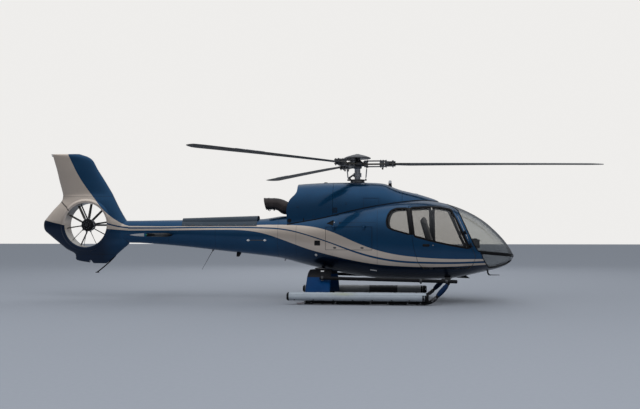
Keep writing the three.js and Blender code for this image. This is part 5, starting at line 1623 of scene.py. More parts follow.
def add_front_tube():
    half = [(2630, 1200, 112), (2660, 1190, 146), (2720, 1165, 217), (2790, 1130, 290), (2850, 1085, 355),
        (2895, 1025, 405), (2925, 960, 435), (2930, 800, 452), (2930, 500, 452), (2930, 0, 452)]
    path = half + [(x, -y, z) for x, y, z in reversed(half[:-1])]
    add_piece("front_tube", swept(path, 34, 36, 5), "black", replaces=["front_cross_tube"])
    slope = [(2698, 1174, 191), (2742, 1155, 241), (2790, 1130, 290), (2850, 1085, 355), (2892, 1030, 401)]
    sizes = [place.x for place in smooth_path([(size, 0, 0) for size in (43, 53, 56, 53, 43)], 4)]
    cover = swept(slope, 43, 40, 4, (0.82, 1.0), sizes)
    cover = joined(without(cover, swept(half, 34.2, 36, 5)))
    add_piece("front_leg_fairings", [cover, mirrored(cover)], "front_leg")
    parts, heads = [], []
    for side in (-1, 1):
        start, end = Vector((2572, side * SKID_Y, 76)), Vector((2668, side * 1190, 154))
        along = (end - start).normalized()
        profile = [(37, 0), (43, 0), (45, 4), (45, 22), (41, 26), (41, 96), (45, 100), (45, 118), (43, 122),
            (36, 122)]
        parts.append(turned([*profile, (36, 0), (37, 0)], 40, start, end))
        for reach in (13, 109):
            heads += [(start + along * reach + Vector((0, s * 44, 0)), (0, s, 0)) for s in (-1, 1)]
        y = side * 560
        parts.append(block(2866, 2994, y - 60, y + 60, 478, 552, 8, 3))
        parts.append(band(34.5, 39, 44, 40, (2930, y, 452), (2930, y + 1, 452)))
        for dx in (-50, 50):
            for dy in (-44, 44):
                heads.append(((2930 + dx, y + dy, 479), (0, 0, -1)))
    add_piece("front_tube_clamps", parts, "grey")
    add_piece("front_tube_bolts", studs(heads, 9, 9), "metal")


def add_rear_legs():
    rows = [(450, 690, 240, 50), (760, 600, 252, 52), (1060, 330, 260, 42), (1172, 125, 262, 26)]
    feet, heads = [], []

    def place(u, v):
        y, z, half, thick = row_at(rows, (len(rows) - 1) * u)
        angle = tau * v
        out = thick * power(sin(angle), 0.9)
        return Vector((205 + half * power(cos(angle), 0.8), y + out, z + 0.35 * out)) * MM
    port = without(lofted(30, 56, place), hull(-TOUCH))
    add_piece("rear_leg_fairings", [port, mirrored(port)], "leg", replaces=["rear_cross_tube"])
    bar = rod((205, -470, 640), (205, 470, 640), 42, 40)
    add_piece("rear_tube", bar, "black")
    for side in (-1, 1):
        y, z = side * SKID_Y, SKID_Z
        foot = block(60, 350, *sorted((side * 1150, side * 1206)), 44, 140, 8, 3)
        hole = rod((0, y, z), (400, y, z), SKID_R + 0.6, 40)
        feet.append(without(foot, hole))
        for x in (90, 320):
            feet.append(band(SKID_R + 0.6, 41.5, 22, 40, (x, y, z), (x + 1, y, z)))
            heads += [((x + dx, side * 1207, up), (0, side, 0)) for dx in (-14, 14) for up in (92, 122)]
    add_piece("rear_leg_feet", feet, "black")
    add_piece("rear_leg_bolts", studs(heads, 8, 8), "metal")
    plates = [moved(tile(70, 30, 6, 0, 3, 0.8), shift((262, side * 700, 668))
        @ Matrix.Rotation(-side * 1.25, 4, "X")) for side in (-1, 1)]
    add_piece("leg_plates", plates, "plate", "machinery_metal")


def add_float(hand):
    """A packed float in its cover, drawn in by straps, with end caps and brackets."""
    y, z, radius = FLOAT_Y, FLOAT_Z, FLOAT_R
    length = FLOAT_FRONT - FLOAT_REAR

    def shape(x, angle):
        """Radius of the cover, drawn in at each strap and slightly lumpy between them."""
        near = min(abs(x - s) for s in FLOAT_STRAPS)
        drawn = 2.2 * exp(-(near / 45) ** 2)
        lump = 0.9 * sin(0.021 * x + 2 * angle) + 0.6 * sin(0.047 * x - 3 * angle + 1)
        crease = 0.9 * sin(0.11 * x + 5 * angle) * exp(-((near - 40) / 45) ** 2)
        flat = 3.0 * max(0.0, -sin(angle))
        return radius - 1 - drawn + lump + crease - flat

    def place(u, v):
        x = FLOAT_REAR + 8 + (length - 16) * u
        angle = tau * v
        end = min(x - FLOAT_REAR, FLOAT_FRONT - x)
        size = shape(x, angle) * (1 - 0.24 * max(0.0, 1 - end / 44) ** 2)
        return Vector((x, y + size * cos(angle), z + size * sin(angle))) * MM
    cover = gear_piece(hand, "float_cover", lofted(260, 56, place), "float", replaces=["float_pack"],
        crease=60)

    def flap(u, v):
        x = FLOAT_REAR + 60 + (length - 120) * u
        angle = radians(28 + 50 * v)
        size = shape(x, angle) + 2.2 + 0.8 * sin(0.06 * x)
        return Vector((x, y + size * cos(angle), z + size * sin(angle))) * MM
    bm = grid(200, 8, flap)
    bmesh.ops.solidify(bm, geom=bm.faces[:], thickness=0.0022)
    gear_piece(hand, "float_flap", to_mesh(closed(bm)), "float", crease=50)
    straps, buckles = [], []
    for x in FLOAT_STRAPS:
        straps.append(turned([(radius - 6, -19), (radius - 2.2, -19), (radius - 1.6, -17),
            (radius - 1.6, 17), (radius - 2.2, 19), (radius - 6, 19), (radius - 6, -19)], 56, (x, y, z),
            (x + 1, y, z)))
        buckles.append(moved(tile(34, 30, 6, 0, 5, 1.5), shift((x, y + radius * 0.62, z - radius * 0.74))
            @ rotation(-140, "X")))
    gear_piece(hand, "float_straps", straps[:-1], "float", crease=50)
    gear_piece(hand, "float_front_strap", straps[-1], "rubber", crease=50)
    gear_piece(hand, "float_buckles", buckles, "grey", "machinery_metal")
    caps = []
    for x, way, deep in ((FLOAT_REAR, 1, 52), (FLOAT_FRONT, -1, 92)):
        profile = [(0, 0), (54, 0), (66, 3), (78, 14), (86, 30), (radius + 0.4, 44), (radius + 0.4, deep),
            (radius - 3, deep), (radius - 6, 40), (0, 40)]
        caps.append(turned(profile, 56, (x, y, z), (x + way, y, z)))
    gear_piece(hand, "float_caps", caps, "rubber", crease=50)
    arms, heads = [], []
    for x in (520, 1150, 1750, 2250):
        arms.append(block(x, x + 45, SKID_Y - 8, y - 20, 78.6, 92, 4))
        arms.append(block(x, x + 45, SKID_Y - 8, SKID_Y + 40, 60, 92, 4))
        arms.append(band(36.6, 41, 22, 36, (x + 22, SKID_Y, SKID_Z), (x + 23, SKID_Y, SKID_Z)))
        heads += [((x + dx, SKID_Y + 26, 92), (0, 0, 1)) for dx in (10, 35)]
    hole = rod((-200, SKID_Y, SKID_Z), (2400, SKID_Y, SKID_Z), SKID_R + 0.6, 36)
    gear_piece(hand, "float_brackets", [without(a, hole) for a in arms], "black")
    gear_piece(hand, "float_bracket_bolts", studs(heads, 7, 7), "metal")


def add_step(hand):
    start, end = Vector(STEP_REAR), Vector(STEP_FRONT)
    along = (end - start).normalized()
    length = (end - start).length
    tube = turned([(0, 2), (20, 0), (31, 4), (35, 12), (36, 22), (36, length - 22), (35, length - 12),
        (31, length - 4), (20, length), (0, length - 2)], 48, start, end)
    gear_piece(hand, "step_tube", tube, "black", replaces=["boarding_step"])

    def tread(u, v):
        angle = radians(48 + 84 * v)
        spot = start + along * (900 + (length - 960) * u)
        return (spot + Vector((0, cos(angle), sin(angle))) * 37.4) * MM
    bm = grid(60, 12, tread)
    bmesh.ops.solidify(bm, geom=bm.faces[:], thickness=0.0014)
    gear_piece(hand, "step_tread", to_mesh(closed(bm)), "grip", crease=50)
    bands, heads = [], []
    for reach in (58, 2122, 2652):
        spot = start + along * reach
        bands.append(turned([(36.2, -24), (42, -24), (45, -20), (45, 20), (42, 24), (36.2, 24),
            (36.2, -24)], 40, spot, spot + along))
        heads += [(spot + along * dx + Vector((0, 0, -45)), (0, 0, -1)) for dx in (-13, 13)]
    lug = start + along * 2122
    bands.append(block(lug.x - 16, lug.x + 16, lug.y - 12, lug.y + 12, lug.z - 66, lug.z - 34, 4))
    hangers = [swept([(2890, STEP_Y, 474), (2886, STEP_Y, 440), (2882, STEP_Y, 408)], 17, 20, 3),
        swept([(300, STEP_Y - 20, 542), (300, 930, 548), (300, 820, 560)], 18, 20, 3)]
    gear_piece(hand, "step_clamps", [*bands, *hangers], "grey")
    gear_piece(hand, "step_bolts", studs(heads, 8, 9), "metal")


class AddLandingGear(HelicopterOperator, bpy.types.Operator):
    """Adds the skids, cross tubes, stowed floats and boarding steps"""

    bl_idname = "helicopter.add_landing_gear"
    bl_label = "Landing gear"

    def build(self, sizes, colours):
        add_front_tube()
        add_rear_legs()
        for hand in SIDES:
            add_skid(hand)
            add_float(hand)
            add_step(hand)


def along_line(start, end, y):
    """Matrix that lays x along a side-view line at a distance y, with z to the line's upper or front side."""
    a, b = Vector((start[0], y, start[1])), Vector((end[0], y, end[1]))
    ahead = (b - a).normalized()
    across = Vector((0, 1, 0))
    up = ahead.cross(across)
    return Matrix.Translation(a * MM) @ Matrix((ahead, across, up)).transposed().to_4x4()


# Pressure that stuffs a pad, and the number of frames that it works for
PAD_PRESSURE, PAD_FRAMES = 4.0, 20


def puffed(mesh, voxel, cap):
    """The mesh blown up like a stuffed cover, no point moved further than the cap, in millimetres."""
    piece = new_object("pad", mesh)
    remesh = piece.modifiers.new("Remesh", "REMESH")
    remesh.mode, remesh.voxel_size = "VOXEL", voxel * MM
    piece.data = evaluated(piece)
    piece.modifiers.clear()
    rest = [v.co.copy() for v in piece.data.vertices]
    cloth = piece.modifiers.new("Cloth", "CLOTH")
    settings = cloth.settings
    settings.use_pressure, settings.uniform_pressure_force = True, PAD_PRESSURE
    settings.effector_weights.gravity = 0
    settings.quality = 4
    cloth.collision_settings.use_collision = False
    cloth.collision_settings.use_self_collision = False
    for step in range(1, PAD_FRAMES + 1):
        bpy.context.scene.frame_set(step)
    made = evaluated(piece)
    piece.modifiers.clear()
    for vertex, start in zip(made.vertices, rest):
        push = vertex.co - start
        if push.length > cap * MM:
            vertex.co = start + push.normalized() * (cap * MM)
    piece.data = made
    bpy.context.scene.frame_set(1)
    finer = piece.modifiers.new("Subdivision", "SUBSURF")
    finer.levels = finer.render_levels = 1
    made = evaluated(piece)
    bpy.data.objects.remove(piece)
    return made


def sewn(mesh, seams, depth=5.0, width=7.0):
    """Presses seams into a pad; each seam gives its distance from a point, in millimetres."""
    places = []
    for vertex, normal in zip(mesh.vertices, mesh.vertex_normals):
        near = min(seam(vertex.co / MM) for seam in seams)
        places.append(vertex.co - normal.vector * (depth * MM * exp(-(near / width) ** 2)))
    return reshaped(mesh, places)


def pad_block(x0, x1, width, thick):
    """A pad as it is cut, before it is stuffed: narrower towards its upper side."""
    mesh = block(x0, x1, -width / 2, width / 2, 3, thick)
    return bevelled(mesh, min(24, thick * 0.32), 4)


def laid(tree, points, way, lift=2.0):
    """The points dropped onto a surface along a direction, in millimetres."""
    made = []
    for point in points:
        found = tree.ray_cast(Vector(point) * MM, Vector(way))
        made.append(found[0] / MM - Vector(way) * lift if found[0] is not None else Vector(point))
    return made


def webbing(points, across, width=46, steps=6, thick=1.6):
    """A flat belt along points, as wide as said in the direction across."""
    path = smooth_path(points, steps)
    wide = Vector(across).normalized() * width

    def place(u, v):
        return (path[round(u * (len(path) - 1))] + wide * (v - 0.5)) * MM
    bm = grid(len(path) - 1, 4, place)
    bmesh.ops.solidify(bm, geom=bm.faces[:], thickness=thick * MM)
    return to_mesh(closed(bm))


def cabin_piece(name, mesh, look, slot=None, replaces=(), crease=40):
    return add_piece(name, mesh, look, slot or SLOTS.get(look, "black_plastic"), replaces, crease=crease)


def add_floor():
    carpet = within(hull(WALL + 1), block(CABIN_REAR + 3, 3560, -FAR, FAR, CABIN_FLOOR + 0.2, CABIN_FLOOR
        + 5))
    cabin_piece("cabin_carpet", carpet, "carpet")
    sills = [within(skin_shell(30, 44), block(1500, 3420, -FAR, FAR, 690, 733))]
    cabin_piece("sill_trim", sills, "black")
    rails = [block(2560, 3200, side * SEAT_Y + dy - 18, side * SEAT_Y + dy + 18, 685, 700, 3)
        for side in (-1, 1) for dy in (-190, 190)]
    cabin_piece("seat_rails", rails, "metal")
    console = bevelled(prism([(2520, 2178), (2520, 2120), (2600, 2088), (2820, 2072), (2900, 2100),
        (2900, 2125)], -130, 130), 12, 3)
    cabin_piece("roof_console", within(console, hull(WALL - 2)), "black")
    knobs = [((2640 + 44 * i, -75 + 50 * j, 2088 - 3.2 * i), (0, 0, -1)) for i in range(5) for j in range(4)]
    cabin_piece("roof_switches", studs(knobs, 8, 16, 12), "plate")


def add_front_seats():
    pan, back = ((2640, 990), (3130, 1030)), ((2392, 1790), (2640, 990))
    low = form("seat_pad", lambda: puffed(pad_block(118, 480, 452, 74), 10, 12))
    high = form("back_pad", lambda: puffed(pad_block(-42, 742, 438, 72), 10, 12))
    low = sewn(low, [lambda p: abs(p.x - 250) if p.z > 40 else 99, lambda p: abs(p.x - 370) if p.z > 40
        and abs(p.y) < 150 else 99, lambda p: abs(abs(p.y) - 150) if p.z > 40 else 99])
    high = sewn(high, [lambda p: abs(abs(p.y) - 140) if p.z > 36 and p.x > 150 else 99,
        lambda p: abs(p.x - 150) if p.z > 36 else 99, lambda p: min(abs(p.x - x) for x in (300, 430, 560))
        if p.z > 36 and abs(p.y) < 140 else 99])
    shell_outline = [(2640, 990), (3130, 1030), (3146, 1014), (3140, 998), (2700, 950), (2640, 940),
        (2590, 985), (2360, 1780), (2392, 1790)]
    for word, side, _ in SIDES:
        y = side * SEAT_Y
        shell = soft_prism(shell_outline, 16, y - 240, y + 240, 7, 3)
        wings = []
        for way in (-1, 1):
            at = sorted((y + way * 226, y + way * 243))
            wings.append(soft_prism([(2650, 960), (3120, 1000), (3120, 1058), (3040, 1072), (2740, 1050),
                (2650, 1120), (2470, 1700), (2420, 1720), (2385, 1700), (2600, 985)], 30, *at, 6, 3))
        cabin_piece(f"seat_shell_{word}", [shell, *wings], "shell", replaces=[f"front_seat_{word}"])
        legs = []
        for dy in (-190, 190):
            for points in ([(2700, y + dy, 960), (2660, y + dy, 830), (2640, y + dy, 702)],
                    [(3000, y + dy, 992), (3030, y + dy, 850), (3060, y + dy, 702)],
                    [(2690, y + dy, 930), (2860, y + dy, 800), (3040, y + dy, 720)]):
                legs.append(swept(points, 13, 16, 4))
        cabin_piece(f"seat_legs_{word}", legs, "grey", "dark_metal")
        pads = joined(moved(low, along_line(*pan, y)), moved(high, along_line(*back, y)))
        cushion = cabin_piece(f"seat_cushion_{word}", pads, "cloth", replaces=[f"front_cushion_{word}"],
            crease=60)
        add_harness(word, y, pads)


def add_harness(word, y, pads):
    tree = tree_of(pads)
    ahead = Vector((2640 - 2392, 0, 990 - 1790)).normalized()
    out = ahead.cross(Vector((0, 1, 0)))
    top = Vector((2392, y, 1790))
    belts, metal = [], []
    for way in (-1, 1):
        starts = [top + ahead * s + out * 200 + Vector((0, way * (92 - 0.09 * s), 0))
            for s in (10, 90, 200, 320, 440, 560, 650)]
        points = laid(tree, starts, tuple(-out))
        points = [top + ahead * -24 + out * 30 + Vector((0, way * 92, 0))] + points
        points.append(Vector((2806, y + way * 22, 1126)))
        belts.append(webbing(points, (0, 1, 0)))
        lap = [(2640, y + way * 236, 1010), (2690, y + way * 222, 1080), (2740, y + way * 150, 1130),
            (2790, y + way * 70, 1138), (2806, y + way * 30, 1130)]
        belts.append(webbing(lap, (0.9, 0, 0.45)))
        metal.append(block(2622, 2668, y + way * 244 - 4, y + way * 244 + 4, 985, 1030, 2))
    cabin_piece(f"harness_{word}", belts, "webbing")
    buckle = turned([(0, 0), (30, 0), (34, 4), (34, 14), (28, 20), (0, 20)], 32, (2806, y, 1124),
        (2816, y, 1150))
    cabin_piece(f"harness_buckle_{word}", [buckle, *metal], "metal")


def add_bench():
    base = block(1500, 1896, -680, 680, 685, 798, 8, 3)
    shell = soft_prism([(1500, 780), (1500, 1760), (1530, 1760), (1640, 1000), (2050, 1030), (2060, 1000),
        (1900, 960), (1900, 780)], 14, -745, 745, 6, 3)
    cabin_piece("bench_shell", [base, shell], "shell", replaces=["rear_bench"])
    low = form("bench_pad", lambda: puffed(pad_block(100, 408, 1462, 78), 14, 12))
    high = form("bench_back", lambda: puffed(pad_block(-20, 668, 1456, 74), 14, 12))
    places = (-365, 0, 365)
    low = sewn(low, [lambda p: min(abs(p.y - y) for y in places) if p.z > 30 else 99,
        lambda p: abs(p.x - 300) if p.z > 40 else 99], 12, 11)
    high = sewn(high, [lambda p: min(abs(p.y - y) for y in places) if p.z > 30 else 99,
        lambda p: abs(p.x - 150) if p.z > 40 else 99, lambda p: abs(p.x - 420) if p.z > 40 else 99], 12, 11)
    pads = joined(moved(low, along_line((1640, 1000), (2050, 1030), 0)),
        moved(high, along_line((1540, 1700), (1640, 1000), 0)))
    cushion = cabin_piece("bench_cushion", pads, "cloth", replaces=["rear_cushion"], crease=60)
    belts, metal = [], []
    for y in (-548, -183, 183, 548):
        for way in (-1, 1):
            points = [(1668, y + way * 150, 1075), (1720, y + way * 140, 1108), (1800, y + way * 120, 1116),
                (1880, y + way * 60, 1118), (1920, y + way * 14, 1118)]
            belts.append(webbing(points, (0.5, way * 0.85, 0)))
        metal.append(slab(rounded([(1900, y - 24), (1956, y - 24), (1956, y + 24), (1900, y + 24)], 8),
            1117, 1129, 3))
    cabin_piece("bench_belts", belts, "webbing")
    cabin_piece("bench_buckles", metal, "metal")


def add_panel():
    stand = soft_prism([(3230, 681), (3250, 930), (3440, 1110), (3440, 1150), (3590, 1150), (3600, 1100),
        (3530, 681)], 14, -140, 140, 8, 3)
    face = soft_prism([(3440, 1100), (3440, 1345), (3590, 1362), (3640, 1320), (3640, 1170)], 16, -140, 400,
        8, 3)
    cabin_piece("panel_housing", [stand, face], "shell", replaces=["instrument_panel"])
    hood = soft_prism([(3378, 1338), (3392, 1352), (3560, 1374), (3650, 1338), (3656, 1322), (3590, 1350),
        (3430, 1334)], 6, -156, 416, 4, 3)
    cabin_piece("panel_hood", hood, "leather")
    frames, glass, knobs = [], [], []
    for y0, y1 in ((-122, 62), (82, 266), (286, 384)):
        rim = soft_prism([(y0, 1152), (y1, 1152), (y1, 1326), (y0, 1326)], 10, 3430, 3441)
        hole = soft_prism([(y0 + 12, 1166), (y1 - 12, 1166), (y1 - 12, 1312), (y0 + 12, 1312)], 6, 3420, 3450)
        turn = Matrix(((0, 1, 0, 0), (1, 0, 0, 0), (0, 0, 1, 0), (0, 0, 0, 1)))
        frames.append(moved(without(rim, hole), turn))
        screen = prism([(y0 + 11, 1165), (y1 - 11, 1165), (y1 - 11, 1313), (y0 + 11, 1313)], 3436, 3439)
        glass.append(moved(screen, turn))
        count = round((y1 - y0) / 24)
        for i in range(count):
            knobs.append(((3430, y0 + 16 + i * (y1 - y0 - 32) / (count - 1), 1158), (-1, 0, 0)))
    cabin_piece("screen_frames", frames, "black")
    cabin_piece("screens", glass, "display")
    for i in range(4):
        for j in range(5):
            knobs.append(((3262 + 34 * i, -88 + 44 * j, 944 + 32.2 * i), (-0.69, 0, 0.72)))
    for y in (-100, -40, 40, 100):
        knobs.append(((3420, y, 1120), (-1, 0, 0.6)))
    cabin_piece("panel_knobs", studs(knobs, 7, 12, 14), "plate")


def add_controls():
    """The stick, the lever beside the seat and the pedals."""
    y = SEAT_Y
    stick = swept([(3120, y, 700), (3128, y, 800), (3145, y, 900), (3180, y, 1020), (3176, y, 1100)], 12,
        20, 5)
    grip = swept([(3178, y, 1080), (3170, y, 1120), (3152, y, 1170), (3138, y, 1196)], 20, 24, 5,
        (0.85, 1.15), [17 + 5 * sin(pi * i / 15) for i in range(16)])
    boot = turned([(0, 681), (62, 681), (62, 690), (52, 698), (56, 708), (44, 716), (48, 726), (34, 736),
        (36, 746), (20, 756), (0, 756)], 40, (3120, y, 0), (3120, y, 1))
    cabin_piece("stick_tube", stick, "grey", replaces=["cyclic_stick"])
    cabin_piece("stick_grip", [grip, boot], "rubber")
    keys = [((3132, y - 6 + 10 * i, 1192), (-0.4, 0, 0.9))
        for i in range(2)] + [((3160, y, 1185), (0.9, 0, 0.4))]
    cabin_piece("stick_buttons", studs(keys, 5, 7, 12), "plate")
    y = 712
    lever = swept([(2720, y, 760), (2860, y, 850), (2990, y, 940)], 13, 20, 4)
    handle = swept([(2940, y, 906), (3010, y, 954), (3070, y, 994)], 21, 24, 4)
    gaiter = turned([(0, 0), (46, 0), (48, 10), (38, 18), (42, 28), (30, 40), (0, 40)], 32, (2700, y, 686),
        (2716, y, 716))
    cabin_piece("lift_lever", lever, "grey")
    cabin_piece("lift_lever_grip", [handle, gaiter], "rubber")
    parts = [block(3398, 3432, 188, 422, 682, 712, 5)]
    plates = []
    for y0, y1 in ((190, 265), (345, 420)):
        plates.append(soft_prism([(3396, 770), (3424, 772), (3402, 886), (3378, 880)], 6, y0, y1, 4))
        middle = (y0 + y1) / 2
        parts.append(swept([(3414, middle, 700), (3412, middle, 750), (3408, middle, 800)], 9, 16, 3))
    cabin_piece("pedal_base", parts, "grey", "dark_metal", ["pedals"])
    cabin_piece("pedal_plates", plates, "metal")


class AddInterior(HelicopterOperator, bpy.types.Operator):
    """Adds the seats, harnesses, instrument panel, controls and the cabin's lining"""

    bl_idname = "helicopter.add_interior"
    bl_label = "Interior"

    def build(self, sizes, colours):
        add_floor()
        add_front_seats()
        add_bench()
        add_panel()
        add_controls()


def latches(places, width=64, height=34):
    """Flush push latches at places given as matrices: their dark rims and their plates."""
    rim = without(slab(oval(width, height), -2, 1.4), slab(oval(width - 7, height - 7), -3, 4))
    plate = slab(oval(width - 9, height - 9), -2, 1.6, 0.6)
    return [joined(*[moved(mesh, place) for place in places]) for mesh in (rim, plate)]


def add_exhaust():
    line = [(-1260, 0, 2151), (-1120, 0, 2151), (-980, 0, 2150), (-850, 0, 2145), (-742, 0, 2112),
        (-662, 0, 2064), (-580, 0, 2040), (-480, 0, 2040), (-292, 0, 2046)]
    sizes = [131, 130, 130, 131, 138, 147, 137, 134, 134]
    radii = [v.x for v in smooth_path([(size, 0, 0) for size in sizes], 6)]
    mouth = prism([(-1400, 2400), (-1134, 2282), (-1081, 2020), (-1300, 1900)], -400, 400)
    beyond = block(-2000, -1134, -400, 400, 1800, 2400)
    outer = swept(line, 0, 64, 6, radii=radii)
    bore = swept([(-1330, 0, 2151), *line[1:-1], (-220, 0, 2046)], 0, 64, 6, radii=[r - 5 for r in radii])
    pipe = without(outer, bore, mouth, beyond)
    add_piece("exhaust_skin", pipe, "burnt", replaces=["exhaust_pipe"])
    lip = swept([(-1240, 0, 2151), (-1120, 0, 2151), (-1050, 0, 2151)], 134, 64, 4)
    edge = prism([(-1114, 2290), (-1300, 2290), (-1300, 2010), (-1061, 2010)], -400, 400)
    add_piece("exhaust_lip", without(within(lip, edge), bore, mouth, beyond), "burnt")
    bands, heads = [], []
    for x, z in ((-905, 2148), (-1030, 2151)):
        bands.append(turned([(130.4, -11), (133.5, -11), (135, -6), (135, 6), (133.5, 11), (130.4, 11),
            (130.4, -11)], 64, (x, 0, z), (x - 1, 0, z)))
        bands.append(block(x - 15, x + 15, -10, 10, z - 152, z - 129, 3))
        heads += [((x, s * 10, z - 145), (0, s, 0)) for s in (-1, 1)]
    add_piece("exhaust_bands", bands, "burnt")
    add_piece("exhaust_bolts", studs(heads, 5, 7), "metal")
    ring = turned([(100, -14), (176, -14), (178, -4), (170, 2), (150, 6), (100, 6), (100, -14)], 64,
        (-556, 0, 2046), (-590, 0, 2054))
    add_piece("exhaust_collar", without(ring, outer), "burnt")
    drain = swept([(-990, 20, 2028), (-996, 20, 2002), (-1026, 20, 1990)], 6, 14, 4)
    add_piece("drain_tube", drain, "metal")


def add_lights():
    upright = ((1700, 0, 0), (1700, 0, 1))
    foot = turned([(0, 2462), (44, 2462), (46, 2496), (40, 2540), (36, 2570), (36, 2596), (0, 2596)], 40,
        *upright)
    add_piece("beacon_foot", without(foot, body_mesh(COWL)), "black", replaces=["roof_beacon"])
    lens = turned([(0, 2596.3), (32, 2596.3), (33, 2604), (33, 2636), (29, 2652), (18, 2661), (0, 2664)],
        40, *upright)
    add_piece("beacon_lens", lens, "clear_lens")
    ribs = [turned([(33.2, z), (34.2, z + 1.5), (33.2, z + 3), (33.2, z)], 40, *upright)
        for z in range(2606, 2634, 6)]
    add_piece("beacon_ribs", ribs, "clear_lens")
    for word, side, _ in SIDES:
        housing = swept([(-3460, side * 1352, 1450), (-3430, side * 1366, 1450),
            (-3395, side * 1352, 1450)], 9, 24, 5, (1.0, 0.9))
        add_piece(f"side_light_{word}", housing, "green_lens" if side < 0 else "red_lens", "smoked_glass")
    tail = turned([(0, 0), (19, 0), (19, 22), (14, 34), (0, 38)], 28, (-6118, 0, 3286), (-6150, 0, 3292))
    add_piece("tail_light", tail, "clear_lens")
    lamp = turned([(0, -8), (26, -8), (30, -2), (30, 3), (25, 5), (0, 7)], 32)
    add_piece("side_lamp", moved(lamp, on_side(123, 1017, -1)), "clear_lens")
    knob = turned([(0, -6), (22, -6), (22, 4), (16, 20), (8, 26), (0, 27)], 28)
    dome = turned([(0, -10), (52, -10), (52, 2), (44, 12), (26, 20), (0, 23)], 40, (268, 0, 2606),
        (268, 0, 2607))
    rear = shift((-338, 0, 2516)) @ rotation(-90, "Y")
    add_piece("cowl_lamps", [dome, moved(knob, rear)], "black")


def add_antennas():
    whip = without(rod((-2300, 0, 1120), (-2561, 0, 666), 6, 20, 3), body_mesh(TAIL_BOOM))
    base = moved(turned([(0, -10), (26, -10), (26, 4), (16, 12), (9, 40), (0, 40)], 28),
        shift((-2301, 0, 1117)) @ rotation(205, "Y"))
    add_piece("whip_rod", [whip, base], "black", replaces=["whip_antenna"])
    fin = soft_prism([(3080, 604), (3120, 524), (3160, 512), (3437, 500), (3300, 604)], 8, -9, 9)
    plate = within(skin_shell(-4, 2), block(3060, 3330, -34, 34, 480, 640))
    add_piece("belly_fin", [without(bevelled(fin, 4, 3), hull()), plate], "black", replaces=["belly_antenna"])
    y = -260
    mast = swept([(3790, y, 764), (3794, y, 690), (3798, y, 640), (3812, y, 604), (3840, y, 590)], 12, 20,
        6, (0.7, 1.4))
    probe = swept([(x, y, 588) for x in (3826, 3900, 4030, 4050)], 9, 20, 2, radii=[11, 11, 9.5, 9, 9, 9, 7])
    add_piece("probe_mast", without(mast, hull()), "black", replaces=["pitot_tube"])
    add_piece("probe_tip", probe, "metal")
    low = soft_prism([(-1640, 1060), (-1700, 960), (-1765, 960), (-1760, 1070)], 8, -7, 7)
    add_piece("boom_blade", without(bevelled(low, 4, 3), body_mesh(TAIL_BOOM)), "black")
    puck = turned([(0, -8), (44, -8), (44, 4), (36, 13), (0, 16)], 36)
    add_piece("receiver_puck", moved(puck, shift((2280, 0, 2351)) @ rotation(12, "Y")), "plate")


def add_doors():
    handles = (("right", -1, "right_door", 2469, 1232), ("left", 1, "left_door", 2800, 1180),
        ("sliding", 1, "airframe", 2560, 1220))
    for word, side, body, x, z in handles:
        dish = moved(tile(148, 56, 26, -3, 1.6, 1), on_side(x, z, side))
        bar = moved(tile(112, 24, 11, 2, 9, 3), on_side(x + 4, z, side))
        add_piece(f"door_handle_{word}", [dish, bar], "black", "black_plastic", body=body)
        lock = turned([(0, -4), (13, -4), (13, 2.5), (10, 3.5), (0, 3.5)], 28)
        add_piece(f"door_lock_{word}", moved(lock, on_side(x + 145, z, side)), "metal", body=body)
    for word, side, body in SIDES:
        inner = []
        for x in (2780, 3050):
            point, normal = on_skin(x, 1010, side)
            inner.append(point - normal * (WALL + 3))
        pull = swept([inner[0], inner[0].lerp(inner[1], 0.2) - Vector((0, side * 42, 0)),
            inner[0].lerp(inner[1], 0.8) - Vector((0, side * 42, 0)), inner[1]], 11, 18, 6)
        add_piece(f"door_pull_{word}", pull, "rubber", "black_plastic", body=body)
        low, high = hinges(side)
        axis = (high - low).normalized()
        pins, knuckles, arms = [], [], []
        for p in (low, high):
            pins.append(turned([(0, -42), (11, -42), (12, -39), (12, -27.2), (7, -26.6), (7, 26.6),
                (12, 27.2), (12, 39), (11, 42), (0, 42)], 24, p, p + axis))
            for z0, z1 in ((-40, -26.8), (26.8, 40)):
                pins.append(turned([(7.2, z0), (15, z0), (15, z1), (7.2, z1), (7.2, z0)], 28, p, p + axis))
            for end in (-1, 1):
                middle = p + axis * (end * 33)
                wall = middle + Vector((32, -side * 44, 20))
                pins.append(swept([middle, middle.lerp(wall, 0.5) + Vector((6, side * 3, 0)), wall], 6, 14,
                    4, (1.6, 1.0)))
            knuckles.append(turned([(7.8, -26), (14, -26), (15, -24), (15, 24), (14, 26), (7.8, 26),
                (7.8, -26)], 28, p, p + axis))
            root = p + Vector((-32, side * 8, 0))
            arms.append(swept([p + Vector((-13, side * 3, 0)), root, root + Vector((-10, -side * 34, 0))],
                9, 14, 4, (1.7, 1.0)))
        add_piece(f"hinge_pins_{word}", pins, "black")
        add_piece(f"hinge_knuckles_{word}", [*knuckles, *arms], "black", body=body)


